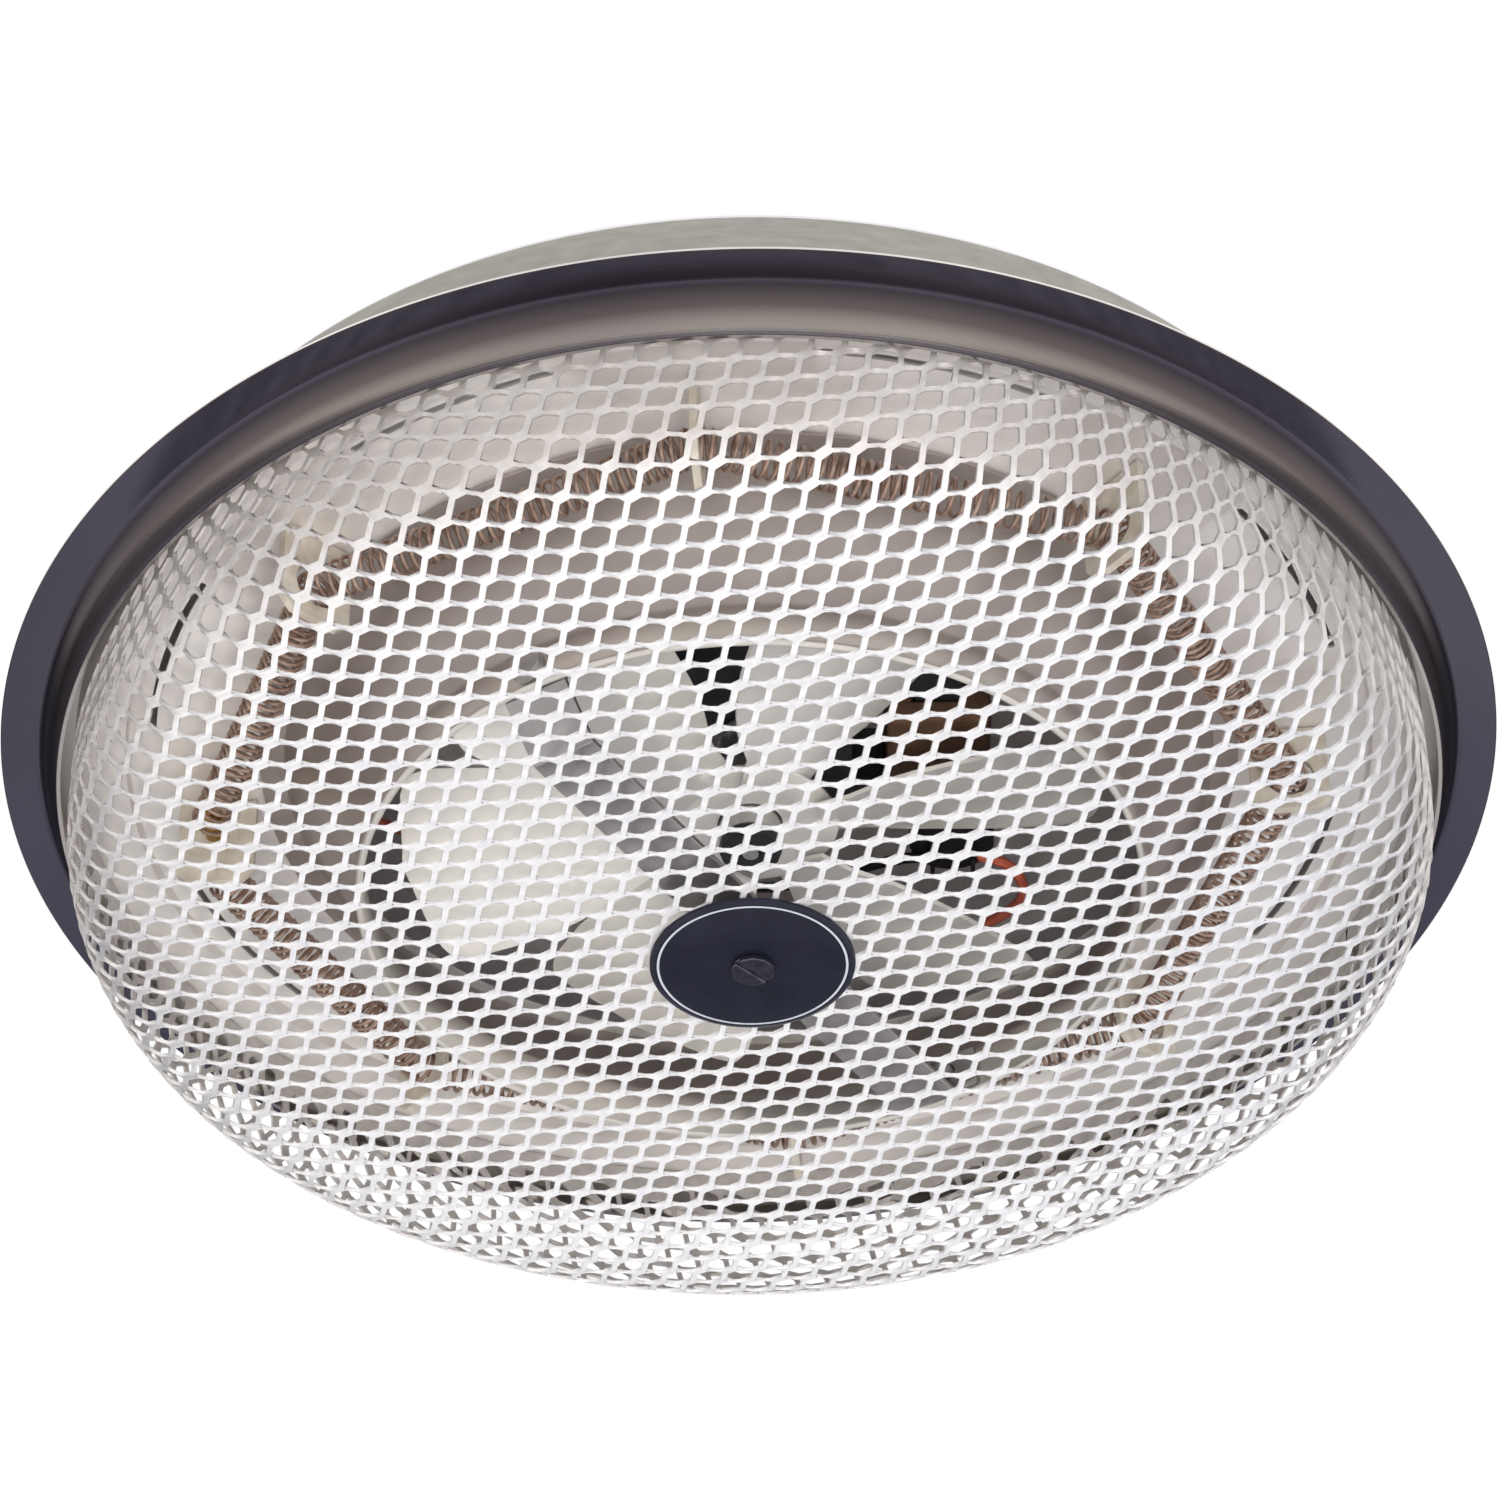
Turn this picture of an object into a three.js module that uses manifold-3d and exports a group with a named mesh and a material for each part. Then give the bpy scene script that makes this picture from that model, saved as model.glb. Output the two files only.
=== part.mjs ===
// Round ceiling heater with a fan, for a bathroom: a shallow can against the ceiling, a polished
// trim ring, a domed grille of expanded metal, and behind it a ring of heating coil round a fan.
// Millimetres, +Z up. The origin is the centre of the flat face that lies on the ceiling.

import * as THREE from "three";
import { mergeVertices } from "three/addons/utils/BufferGeometryUtils.js";
import Module from "manifold-3d";

const wasm = await Module();
wasm.setup();

// Gaps, laps and counts that many pieces share
const seatGap = 0.3;
const looseGap = 0.5;
const cutOverrun = 2;
const shellSides = 44;
const roundSides = 18;
const boreSides = 12;
const arcSteps = 3;
const holeArcSteps = 6;
const weldTolerance = 1e-4;

// Trim ring: flat annulus, then a collar that curves down to its lip
const flangeRadius = 143;
const flangeWidth = 6.4;
const trimGauge = 0.7;
const collarWidth = 4.8;
const collarDepth = 9.6;
const collarRadius = flangeRadius - flangeWidth;
const lipRadius = collarRadius - collarWidth;

// Housing can: a drawn cup with an out-turned flange, open downwards
const rimOverhang = 3;
const canFlangeWidth = 18.5;
const canFlangeRadius = flangeRadius - rimOverhang;
const canRadius = canFlangeRadius - canFlangeWidth;
const canDepth = 31.6;
const canGauge = 0.8;
const canCornerRadius = 5;

// Slots for the ceiling box's screws, long enough for boxes with either ear spacing
const boxEarNear = 34.9;
const boxEarFar = 44.45;
const boxSlotWidth = 5.4;

// Wiring entry with its snap-in bushing
const entryX = -48;
const entryRadius = 11;
const bushingBore = 8;
const bushingFlangeRadius = 13;
const bushingFlange = 1.6;

// Heating element: a wire coil on eight straight runs, held at the corners
const elementCorners = 8;
const elementInset = 18.5;
const elementRadius = canRadius - elementInset;
const elementDrop = 8;
const elementTurn = THREE.MathUtils.degToRad(175.4);
const coilRadius = 3.4;
const wireRadius = 0.6;
const curlsPerRun = 6;
const stepsPerCurl = 8;
const wireSides = 5;
const cornerBlend = 7;

// Reflector pan: a ring plate with a skirt and a flange, clamped between can and trim
const panGauge = 0.6;
const panRise = 4;
const panHoleInset = 17;
const panHoleRadius = elementRadius - panHoleInset;
const panSlotOutset = 9;
const panSlotWidth = 5;
const panSlotInner = elementRadius + panSlotOutset;
const panSlotOuter = panSlotInner + panSlotWidth;
const panSlotSpread = THREE.MathUtils.degToRad(22);

// Fan shroud: a cone that narrows from the pan down to a short throat
const shroudGauge = 0.7;
const shroudLap = 2;
const shroudFlangeWidth = 6;
const shroudTaper = 14;
const shroudBaseRadius = panHoleRadius + shroudLap;
const shroudFlangeRadius = shroudBaseRadius + shroudFlangeWidth;
const mouthRadius = shroudBaseRadius - shroudTaper;
const mouthDrop = 30;
const throatLength = 10;
const lipRoll = 1.4;
const shroudRivets = 3;
const rivetCrownRadius = 1.6;
const rivetHeadRadius = 2.5;
const rivetHead = 1;

// Insulators: mica plates that stand under the pan, with a hole for the coil
const insulatorWidth = 15;
const insulatorThickness = 1.5;
const insulatorDrop = 16;
const insulatorHoleRadius = 4.7;
const insulatorCorner = 2.5;
const terminalRadius = 2.2;
const terminalLength = 6;

// Motor: shaded-pole, with its shaft on the heater's axis
const statorTop = -9;
const statorStack = 14;
const statorLeft = 24;
const statorRight = 41;
const statorHalfWidth = 22;
const windowLeft = 20;
const windowHalf = 13;
const legWidth = 9;
const rotorRadius = 13;
const airGap = 0.4;
const windingBuild = 5.5;
const windingHalf = 12;
const motorScrewOffset = 16.5;
const motorScrewRadius = 1.8;
const motorScrewHead = 3.4;
const motorScrewHeadHeight = 2.4;
const sleeveRadius = 4;
const bracketGauge = 1.2;
const upperPlateHalf = 21;
const lowerBarWidth = 14;
const lowerBarEnd = 6.7;
const lowerBarLength = 2 * (Math.SQRT2 * motorScrewOffset + lowerBarEnd);
const bearingRadius = 6;
const upperBearing = 4.5;
const lowerBearing = 5.5;
const shaftRadius = 1.6;
const runningGap = 0.06;
const shaftTipDrop = 18;

// Fan: six broad paddles stamped from one sheet, riveted to a hub
const fanBlades = 6;
const fanTurn = THREE.MathUtils.degToRad(170);
const fanDrop = 10;
const fanInset = 6;
const fanRadius = mouthRadius - fanInset;
const fanGauge = 1;
const fanPitch = THREE.MathUtils.degToRad(20);
const fanDiscRadius = 17;
const bladeRootLap = 3.4;
const bladeRootHalf = 7;
const bladeTipShare = 0.353;
const bladeTipHalf = bladeTipShare * fanRadius;
const hubRadius = 6;
const hubFlangeRadius = 13;
const hubFlange = 2;
const hubLength = 7.5;
const retainerLength = 2.5;

// Crossbar: the strap across the shroud's mouth that the grille's screw goes into
const strapTurn = THREE.MathUtils.degToRad(58);
const strapWidth = 13;
const strapGauge = 1.2;
const strapDrop = 37;
const strapEndInset = 11;
const strapFlatHalf = mouthRadius - strapEndInset;
const strapTabTopDrop = 21;
const strapTabFootDrop = 29;
const strapScrewDrop = 25;
const strapScrewRadius = 1.7;
const strapScrewHead = 3.4;
const strapScrewHeadHeight = 2;
const strapScrewLength = 5;
const nutHalf = 4;
const nutHeight = 3;

// Grille: a domed sheet of expanded metal with a plain edge
const grilleInset = 2.5;
const grilleWallRadius = lipRadius - grilleInset;
const grilleCorner = 14;
const grilleEdgeDrop = 37;
const grillePoleDrop = 43.6;
const meshThickness = 1.4;
const hemWidth = 4;
const cellAlong = new THREE.Vector2(23.8, -1.9);
const cellAcross = new THREE.Vector2(-9.2, 23);
const strandShares = [0.7, 0.72, 0.88, 0.7, 0.72, 0.88];
const edgeCellShare = 0.42;
const anglePasses = 6;
const cornerGrid = 0.001;

// Badge and the grille's screw
const badgeRadius = 19.3;
const badgeGauge = 0.9;
const badgeBevel = 0.5;
const badgeSides = 28;
const backingRadius = 15;
const backingGauge = 0.8;
const grilleScrewRadius = 2;
const grilleScrewHead = 4.15;
const grilleScrewHeadHeight = 1.2;
const screwSlotWidth = 0.9;
const screwSlotDepth = 0.6;

// Wiring cover: a small tray under the wiring entry
const coverHalfX = 18;
const coverHalfY = 24;
const coverDepth = 19;
const coverGauge = 0.8;
const coverScrewRadius = 1.6;
const coverScrewHead = 3.2;
const coverScrewHeadHeight = 1.8;
const coverEar = 9;
const groundScrewX = -57;
const groundScrewY = 34;

// Thermal cutout: a snap disc on a bent bracket
const cutoutX = 40;
const cutoutY = 36;
const cutoutRadius = 8.5;
const cutoutHeight = 8;
const cutoutTabHeight = 7;
const cutoutTabWidth = 5;
const cutoutTabGauge = 0.8;
const cutoutTabSpacing = 8;
const cutoutBracketDrop = 11;
const cutoutBracketWidth = 10;
const cutoutBracketGauge = 1;
const cutoutBracketFoot = 12;

// Leads, with the points they pass between their ends
const leadRadius = 1.3;
const leadSides = 6;
const leadInside = 3;
const leadStraight = 4;
const leadSpacing = 8;
const leadHoleRadius = 2.4;
const whiteRoute = [[-84.5, 3, -13.6]];
const blackRoute = [[-32.4, 43.8, -11.9], [0, 46.4, -22], [23, 38.6, -23.3]];
const redRoute = [[55.1, 49, -23.3], [29.6, 67.2, -22], [0, 72.4, -12], [-48, 52.6, -10.6], [-86, 30, -12]];
const motorRoutes = [
  [[-41.6, -34.4, -10.6], [30.1, -34.4, -6.1]],
  [[-33.6, -29.2, -10.6], [22.1, -29.2, -7.4]],
];

// Levels, counted down from the ceiling face
const ceilingSkin = -canGauge;
const underCeiling = ceilingSkin - seatGap;
const canFlangeUnder = -canDepth;
const panFlangeTop = canFlangeUnder - seatGap;
const panFlangeUnder = panFlangeTop - panGauge;
const trimTop = panFlangeUnder - seatGap;
const rimLevel = trimTop - trimGauge;
const panUnder = rimLevel + panRise;
const panTop = panUnder + panGauge;
const elementLevel = rimLevel - elementDrop;
const fanLevel = rimLevel - fanDrop;
const statorFoot = statorTop - statorStack;
const strapLevel = rimLevel - strapDrop;
const throatInner = mouthRadius - shroudGauge;
const canInner = canRadius - canGauge;

const heater = new THREE.Group();

function finish(color, roughness, metalness) {
  return new THREE.MeshStandardMaterial({ color, roughness, metalness });
}

const spunAluminium = finish(0xb9b7b0, 0.38, 0.9);
const polishedAluminium = finish(0x8d8a92, 0.2, 1);
const reflectorMetal = finish(0x9c918a, 0.32, 0.9);
const expandedMetal = finish(0xe9e7e2, 0.35, 0.85);
const zincSteel = finish(0xa7a9ac, 0.35, 0.9);
const mica = finish(0xcdb99a, 0.75, 0);
const nichrome = finish(0x4a2e28, 0.5, 0.7);
const brassFinish = finish(0xb08d4c, 0.35, 0.9);
const laminations = finish(0x55585c, 0.55, 0.8);
const windingTape = finish(0xb5713a, 0.6, 0.1);
const blackPlastic = finish(0x1f1f22, 0.5, 0);
const badgeEnamel = finish(0x22263a, 0.25, 0);
const bladeAluminium = finish(0xe6ddce, 0.4, 0.6);
const groundGreen = finish(0x3f6b45, 0.45, 0.5);
const whiteSleeve = finish(0xd8d5cc, 0.6, 0);
const blackSleeve = finish(0x1c1c1f, 0.55, 0);
const redSleeve = finish(0xa8402f, 0.55, 0);
const blueSleeve = finish(0x2f3f66, 0.55, 0);

// A named piece of the heater
function addPiece(name, geometry, material, parent = heater) {
  const piece = new THREE.Mesh(geometry, material);
  piece.name = name;
  parent.add(piece);
  return piece;
}

// Position-only copy of a geometry with shared vertices merged
function weld(geometry) {
  const bare = new THREE.BufferGeometry();
  bare.setAttribute("position", geometry.getAttribute("position").clone());
  if (geometry.index) {
    bare.setIndex(geometry.index.clone());
  }
  return mergeVertices(bare, weldTolerance);
}

function toSolid(geometry) {
  const welded = weld(geometry);
  return new wasm.Manifold(new wasm.Mesh({
    numProp: 3,
    vertProperties: new Float32Array(welded.getAttribute("position").array),
    triVerts: new Uint32Array(welded.index.array),
  }));
}

function toGeometry(solid) {
  const mesh = solid.getMesh();
  const geometry = new THREE.BufferGeometry();
  geometry.setAttribute("position", new THREE.BufferAttribute(new Float32Array(mesh.vertProperties), 3));
  geometry.setIndex(new THREE.BufferAttribute(new Uint32Array(mesh.triVerts), 1));
  geometry.computeVertexNormals();
  return geometry;
}

function cut(geometry, ...tools) {
  const solid = tools.reduce((left, tool) => left.subtract(toSolid(tool)), toSolid(geometry));
  return toGeometry(solid);
}

function join(geometry, ...others) {
  const solid = others.reduce((left, other) => left.add(toSolid(other)), toSolid(geometry));
  return toGeometry(solid);
}

// Turned piece: a closed outline of [radius, level] pairs, spun about the Z axis
function turned(outline, sides = shellSides) {
  const points = outline.map(([radius, level]) => new THREE.Vector2(radius, level));
  const anticlockwise = THREE.ShapeUtils.area(points) > 0;
  const ordered = anticlockwise ? points : [...points].reverse();
  return new THREE.LatheGeometry([...ordered, ordered[0]], sides).rotateX(Math.PI / 2);
}

// Upright round bar between two levels
function bar(radius, low, high, sides = boreSides) {
  const height = high - low;
  return new THREE.CylinderGeometry(radius, radius, height, sides)
    .rotateX(Math.PI / 2)
    .translate(0, 0, low + height / 2);
}

// Upright tube between two levels
function tube(outer, inner, low, high, sides = boreSides) {
  return turned([[inner, low], [outer, low], [outer, high], [inner, high]], sides);
}

function block(lengthX, lengthY, low, high) {
  return new THREE.BoxGeometry(lengthX, lengthY, high - low).translate(0, 0, (low + high) / 2);
}

// Flat outline, given in XY, with its thickness between two levels
function plate(shape, low, high) {
  const options = { depth: high - low, bevelEnabled: false, curveSegments: arcSteps };
  return new THREE.ExtrudeGeometry(shape, options).translate(0, 0, low);
}

function polygon(points) {
  return new THREE.Shape(points.map(([x, y]) => new THREE.Vector2(x, y)));
}

// Outline of a strip of constant thickness that follows a bent line
function stripShape(line, thickness) {
  const points = line.map(([x, y]) => new THREE.Vector2(x, y));
  const half = thickness / 2;
  const side = (sign) => points.map((point, index) => {
    const before = points[Math.max(index - 1, 0)];
    const after = points[Math.min(index + 1, points.length - 1)];
    const inward = point.clone().sub(before).normalize();
    const outward = after.clone().sub(point).normalize();
    const inner = index > 0 && index < points.length - 1;
    const reference = index === 0 ? outward : inward;
    const along = inner ? inward.clone().add(outward).normalize() : reference;
    const reach = sign * half / along.dot(reference);
    return new THREE.Vector2(point.x - along.y * reach, point.y + along.x * reach);
  });
  return new THREE.Shape([...side(-1), ...side(1).reverse()]);
}

// A strip whose bent line lies in the XZ plane and whose width runs along Y
function bentStrip(line, thickness, width) {
  return new THREE.ExtrudeGeometry(stripShape(line, thickness), { depth: width, bevelEnabled: false })
    .translate(0, 0, -width / 2)
    .rotateX(Math.PI / 2);
}

// Machine screw: head below, shank going up
function screwGeometry(headRadius, headHeight, shankRadius, headTop, shankTop) {
  const headBottom = headTop - headHeight;
  return turned([
    [0, headBottom],
    [headRadius, headBottom],
    [headRadius, headTop],
    [shankRadius, headTop],
    [shankRadius, shankTop],
    [0, shankTop],
  ], boreSides);
}

// Housing can
function canOutline() {
  const outer = [];
  const inner = [];
  const cornerSteps = 2;
  for (let step = 0; step <= cornerSteps; step += 1) {
    const angle = (Math.PI / 2) * (step / cornerSteps);
    const centreRadius = canRadius - canCornerRadius;
    const across = Math.sin(angle);
    const up = Math.cos(angle);
    const innerCorner = canCornerRadius - canGauge;
    outer.push([centreRadius + canCornerRadius * across, canCornerRadius * up - canCornerRadius]);
    inner.push([centreRadius + innerCorner * across, innerCorner * up - canCornerRadius]);
  }
  const flangeTop = canFlangeUnder + canGauge;
  return [
    [0, 0],
    ...outer,
    [canRadius, flangeTop],
    [canFlangeRadius, flangeTop],
    [canFlangeRadius, canFlangeUnder],
    [canInner, canFlangeUnder],
    ...inner.reverse(),
    [0, ceilingSkin],
  ];
}

function boxSlot(side) {
  const length = boxEarFar - boxEarNear;
  const slot = block(boxSlotWidth, length, ceilingSkin - cutOverrun, cutOverrun);
  const middle = side * (boxEarNear + boxEarFar) / 2;
  const near = bar(boxSlotWidth / 2, ceilingSkin - cutOverrun, cutOverrun);
  const far = near.clone();
  return join(
    slot.translate(0, middle, 0),
    near.translate(0, side * boxEarNear, 0),
    far.translate(0, side * boxEarFar, 0),
  );
}

const housing = cut(
  turned(canOutline()),
  bar(entryRadius, ceilingSkin - cutOverrun, cutOverrun, roundSides).translate(entryX, 0, 0),
  boxSlot(1),
  boxSlot(-1),
);
addPiece("housing_can", housing, spunAluminium);

// Wiring bushing, snapped into the entry from below
addPiece("wiring_bushing", turned([
  [bushingBore, ceilingSkin - seatGap - bushingFlange],
  [bushingFlangeRadius, ceilingSkin - seatGap - bushingFlange],
  [bushingFlangeRadius, ceilingSkin - seatGap],
  [entryRadius - looseGap, ceilingSkin - seatGap],
  [entryRadius - looseGap, -seatGap],
  [bushingBore, -seatGap],
], roundSides), blackPlastic).position.x = entryX;

// Trim ring
function trimOutline() {
  const outside = [];
  const inside = [];
  const collarSteps = 4;
  const sweep = collarRadius - lipRadius;
  for (let step = 0; step <= collarSteps; step += 1) {
    const angle = (Math.PI / 2) * (step / collarSteps);
    const radius = collarRadius - sweep * Math.sin(angle);
    const level = rimLevel - collarDepth * (1 - Math.cos(angle));
    outside.push([radius, level]);
    const leanX = collarDepth * Math.sin(angle);
    const leanY = sweep * Math.cos(angle);
    const length = Math.hypot(leanX, leanY);
    inside.push([radius - trimGauge * (leanX / length), level + trimGauge * (leanY / length)]);
  }
  return [[flangeRadius, rimLevel], ...outside, ...inside.reverse(), [flangeRadius, trimTop]];
}
addPiece("trim_ring", turned(trimOutline()), polishedAluminium);

// Where the heating element's corners stand
function elementCorner(index) {
  const turn = elementTurn + index * (2 * Math.PI / elementCorners);
  return new THREE.Vector2(Math.cos(turn), Math.sin(turn)).multiplyScalar(elementRadius);
}

// Point beside the terminal plate, a given way off its middle plane
function besideTerminalPlate(side, reach) {
  const away = new THREE.Vector2(-Math.sin(elementTurn), Math.cos(elementTurn));
  return elementCorner(0).addScaledVector(away, side * reach);
}

function terminalPlace(side) {
  return besideTerminalPlate(side, insulatorThickness / 2 + seatGap + terminalLength / 2);
}

// Reflector pan: skirt inside the can's wall, flange between the can's flange and the trim
const skirtOuter = canInner * Math.cos(Math.PI / shellSides) - seatGap;

function panSlot(index) {
  const middle = elementTurn + (index + 0.5) * (2 * Math.PI / elementCorners);
  const slot = new THREE.Shape();
  slot.absarc(0, 0, panSlotOuter, middle - panSlotSpread / 2, middle + panSlotSpread / 2, false);
  slot.absarc(0, 0, panSlotInner, middle + panSlotSpread / 2, middle - panSlotSpread / 2, true);
  return plate(slot, panUnder - cutOverrun, panTop + cutOverrun);
}

function panLeadHole(side) {
  const place = terminalPlace(side);
  return bar(leadHoleRadius, panUnder - cutOverrun, panTop + cutOverrun).translate(place.x, place.y, 0);
}

const pan = cut(
  turned([
    [panHoleRadius, panUnder],
    [skirtOuter - panGauge, panUnder],
    [skirtOuter - panGauge, panFlangeUnder],
    [canFlangeRadius, panFlangeUnder],
    [canFlangeRadius, panFlangeTop],
    [skirtOuter, panFlangeTop],
    [skirtOuter, panTop],
    [panHoleRadius, panTop],
  ]),
  ...Array.from({ length: elementCorners }, (_, index) => panSlot(index)),
  panLeadHole(1),
  panLeadHole(-1),
);
addPiece("reflector_pan", pan, reflectorMetal);

// Fan shroud with its rolled mouth
const shroudTop = panUnder - seatGap;
const throatTop = rimLevel - mouthDrop + throatLength;
const mouthLevel = rimLevel - mouthDrop;

function strapScrewHole(side) {
  const radius = strapScrewRadius + seatGap;
  return new THREE.CylinderGeometry(radius, radius, 2 * (strapScrewLength + cutOverrun), boreSides)
    .rotateZ(Math.PI / 2)
    .translate(side * mouthRadius, 0, rimLevel - strapScrewDrop)
    .rotateZ(strapTurn);
}

const shroud = cut(
  turned([
    [throatInner, mouthLevel],
    [mouthRadius + lipRoll / 2, mouthLevel],
    [mouthRadius, mouthLevel + lipRoll],
    [mouthRadius, throatTop],
    [shroudBaseRadius + shroudGauge, shroudTop - shroudGauge],
    [shroudFlangeRadius, shroudTop - shroudGauge],
    [shroudFlangeRadius, shroudTop],
    [shroudBaseRadius, shroudTop],
    [throatInner, throatTop],
  ]),
  strapScrewHole(1),
  strapScrewHole(-1),
);
addPiece("fan_shroud", shroud, reflectorMetal);

// Rivets under the shroud's flange, which they clamp to the pan
for (let index = 0; index < shroudRivets; index += 1) {
  const place = elementTurn + Math.PI / elementCorners + index * (2 * Math.PI / shroudRivets);
  const radius = (shroudFlangeRadius + shroudBaseRadius + shroudGauge) / 2;
  const headTop = shroudTop - shroudGauge - seatGap;
  const rivet = addPiece("shroud_rivet_" + (index + 1), turned([
    [0, headTop - rivetHead],
    [rivetCrownRadius, headTop - rivetHead],
    [rivetHeadRadius, headTop - rivetHead / 2],
    [rivetHeadRadius, headTop],
    [0, headTop],
  ], boreSides), zincSteel);
  rivet.position.set(radius * Math.cos(place), radius * Math.sin(place), 0);
}

// Insulator plates at the element's corners, and the thicker one that carries the terminals
function insulatorGeometry(hole) {
  const low = rimLevel - insulatorDrop;
  const high = panUnder - seatGap;
  const half = insulatorWidth / 2;
  const shape = polygon([
    [-half, high],
    [-half, low + insulatorCorner],
    [-half + insulatorCorner, low],
    [half - insulatorCorner, low],
    [half, low + insulatorCorner],
    [half, high],
  ]);
  if (hole) {
    const round = new THREE.Path();
    round.absarc(0, elementLevel, insulatorHoleRadius, 0, 2 * Math.PI, true);
    shape.holes.push(round);
  }
  const options = { depth: insulatorThickness, bevelEnabled: false, curveSegments: holeArcSteps };
  return new THREE.ExtrudeGeometry(shape, options)
    .translate(0, 0, -insulatorThickness / 2)
    .rotateX(Math.PI / 2);
}

for (let index = 0; index < elementCorners; index += 1) {
  const turn = elementTurn + index * (2 * Math.PI / elementCorners);
  const name = index === 0 ? "terminal_plate" : "insulator_" + index;
  const insulator = addPiece(name, insulatorGeometry(index !== 0), mica);
  const place = elementCorner(index);
  insulator.position.set(place.x, place.y, 0);
  insulator.rotation.z = turn;
}

// Element terminals: brass studs on either face of the terminal plate
[1, -1].forEach((side, index) => {
  const place = terminalPlace(side);
  const stud = new THREE.CylinderGeometry(terminalRadius, terminalRadius, terminalLength, boreSides);
  const terminal = addPiece("element_terminal_" + (index + 1), stud, brassFinish);
  terminal.position.set(place.x, place.y, elementLevel + coilRadius);
  terminal.rotation.z = elementTurn;
});

// Heating coil: a helix round the eight runs, from one terminal to the other
const wireStart = insulatorThickness / 2 + 2 * seatGap + terminalLength;
const wireLead = 2 * wireRadius;
const elementNodes = [
  besideTerminalPlate(1, wireStart + wireLead),
  ...Array.from({ length: elementCorners - 1 }, (_, index) => elementCorner(index + 1)),
  besideTerminalPlate(-1, wireStart + wireLead),
];
const elementRuns = elementNodes.slice(1).map((end, index) => end.distanceTo(elementNodes[index]));
const elementLength = elementRuns.reduce((sum, run) => sum + run, 0);

// Point of the coil's axis, and the direction square to it there, which turns smoothly at each corner
function elementAxis(distance) {
  let run = 0;
  let along = distance;
  while (run < elementRuns.length - 1 && along > elementRuns[run]) {
    along -= elementRuns[run];
    run += 1;
  }
  const squareTo = (index) => {
    const way = elementNodes[index + 1].clone().sub(elementNodes[index]);
    return Math.atan2(-way.x, way.y);
  };
  const turn = squareTo(run);
  const bend = (other) => {
    const raw = other - turn;
    return (raw - 2 * Math.PI * Math.round(raw / (2 * Math.PI))) / 2;
  };
  const bendBack = run === 0 ? 0 : bend(squareTo(run - 1));
  const bendOn = run === elementRuns.length - 1 ? 0 : bend(squareTo(run + 1));
  const nearStart = THREE.MathUtils.smoothstep(1 - along / cornerBlend, 0, 1);
  const nearEnd = THREE.MathUtils.smoothstep(1 - (elementRuns[run] - along) / cornerBlend, 0, 1);
  const normalTurn = turn + bendBack * nearStart + bendOn * nearEnd;
  const point = elementNodes[run].clone().lerp(elementNodes[run + 1], along / elementRuns[run]);
  return { point, normal: new THREE.Vector2(Math.cos(normalTurn), Math.sin(normalTurn)) };
}

function coilCentreLine() {
  const steps = elementCorners * curlsPerRun * stepsPerCurl;
  const up = new THREE.Vector3(0, 0, 1);
  const raised = elementLevel + coilRadius;
  const first = besideTerminalPlate(1, wireStart);
  const last = besideTerminalPlate(-1, wireStart);
  const line = [{ point: new THREE.Vector3(first.x, first.y, raised), out: up }];
  for (let step = 0; step <= steps; step += 1) {
    const { point, normal } = elementAxis(elementLength * (step / steps));
    const phase = Math.PI / 2 + 2 * Math.PI * (step / stepsPerCurl);
    const out = new THREE.Vector3(normal.x * Math.cos(phase), normal.y * Math.cos(phase), Math.sin(phase));
    const centre = new THREE.Vector3(point.x, point.y, elementLevel);
    line.push({ point: centre.addScaledVector(out, coilRadius), out });
  }
  line.push({ point: new THREE.Vector3(last.x, last.y, raised), out: up });
  return line;
}

// Round wire along a line of points, each with the direction away from the coil's axis
function wireGeometry(line, radius, sides) {
  const positions = [];
  const indices = [];
  line.forEach(({ point, out }, index) => {
    const before = line[Math.max(index - 1, 0)].point;
    const after = line[Math.min(index + 1, line.length - 1)].point;
    const along = after.clone().sub(before).normalize();
    const across = out.clone().addScaledVector(along, -out.dot(along)).normalize();
    const third = along.clone().cross(across);
    for (let side = 0; side < sides; side += 1) {
      const angle = 2 * Math.PI * (side / sides);
      const vertex = point.clone()
        .addScaledVector(across, radius * Math.cos(angle))
        .addScaledVector(third, radius * Math.sin(angle));
      positions.push(vertex.x, vertex.y, vertex.z);
    }
  });
  for (let ring = 0; ring < line.length - 1; ring += 1) {
    for (let side = 0; side < sides; side += 1) {
      const next = (side + 1) % sides;
      const a = ring * sides + side;
      const b = ring * sides + next;
      const c = a + sides;
      const d = b + sides;
      indices.push(a, b, d, a, d, c);
    }
  }
  const end = (line.length - 1) * sides;
  for (let side = 1; side < sides - 1; side += 1) {
    indices.push(0, side + 1, side);
    indices.push(end, end + side, end + side + 1);
  }
  const geometry = new THREE.BufferGeometry();
  geometry.setAttribute("position", new THREE.Float32BufferAttribute(positions, 3));
  geometry.setIndex(indices);
  geometry.computeVertexNormals();
  return geometry;
}

// Least clear space between one curl and the next ones, measured on the centre line's points
function leastGap(line, radius, skip) {
  let least = Infinity;
  for (let a = 0; a < line.length; a += 1) {
    for (let b = a + skip; b < line.length; b += 1) {
      least = Math.min(least, line[a].point.distanceTo(line[b].point));
    }
  }
  return least - 2 * radius;
}

const coilLine = coilCentreLine();
const coilGap = leastGap(coilLine, wireRadius, stepsPerCurl - 2);
console.log("heating coil, least gap between curls in mm:", coilGap.toFixed(2));
addPiece("element_coil", wireGeometry(coilLine, wireRadius, wireSides), nichrome);

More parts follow.
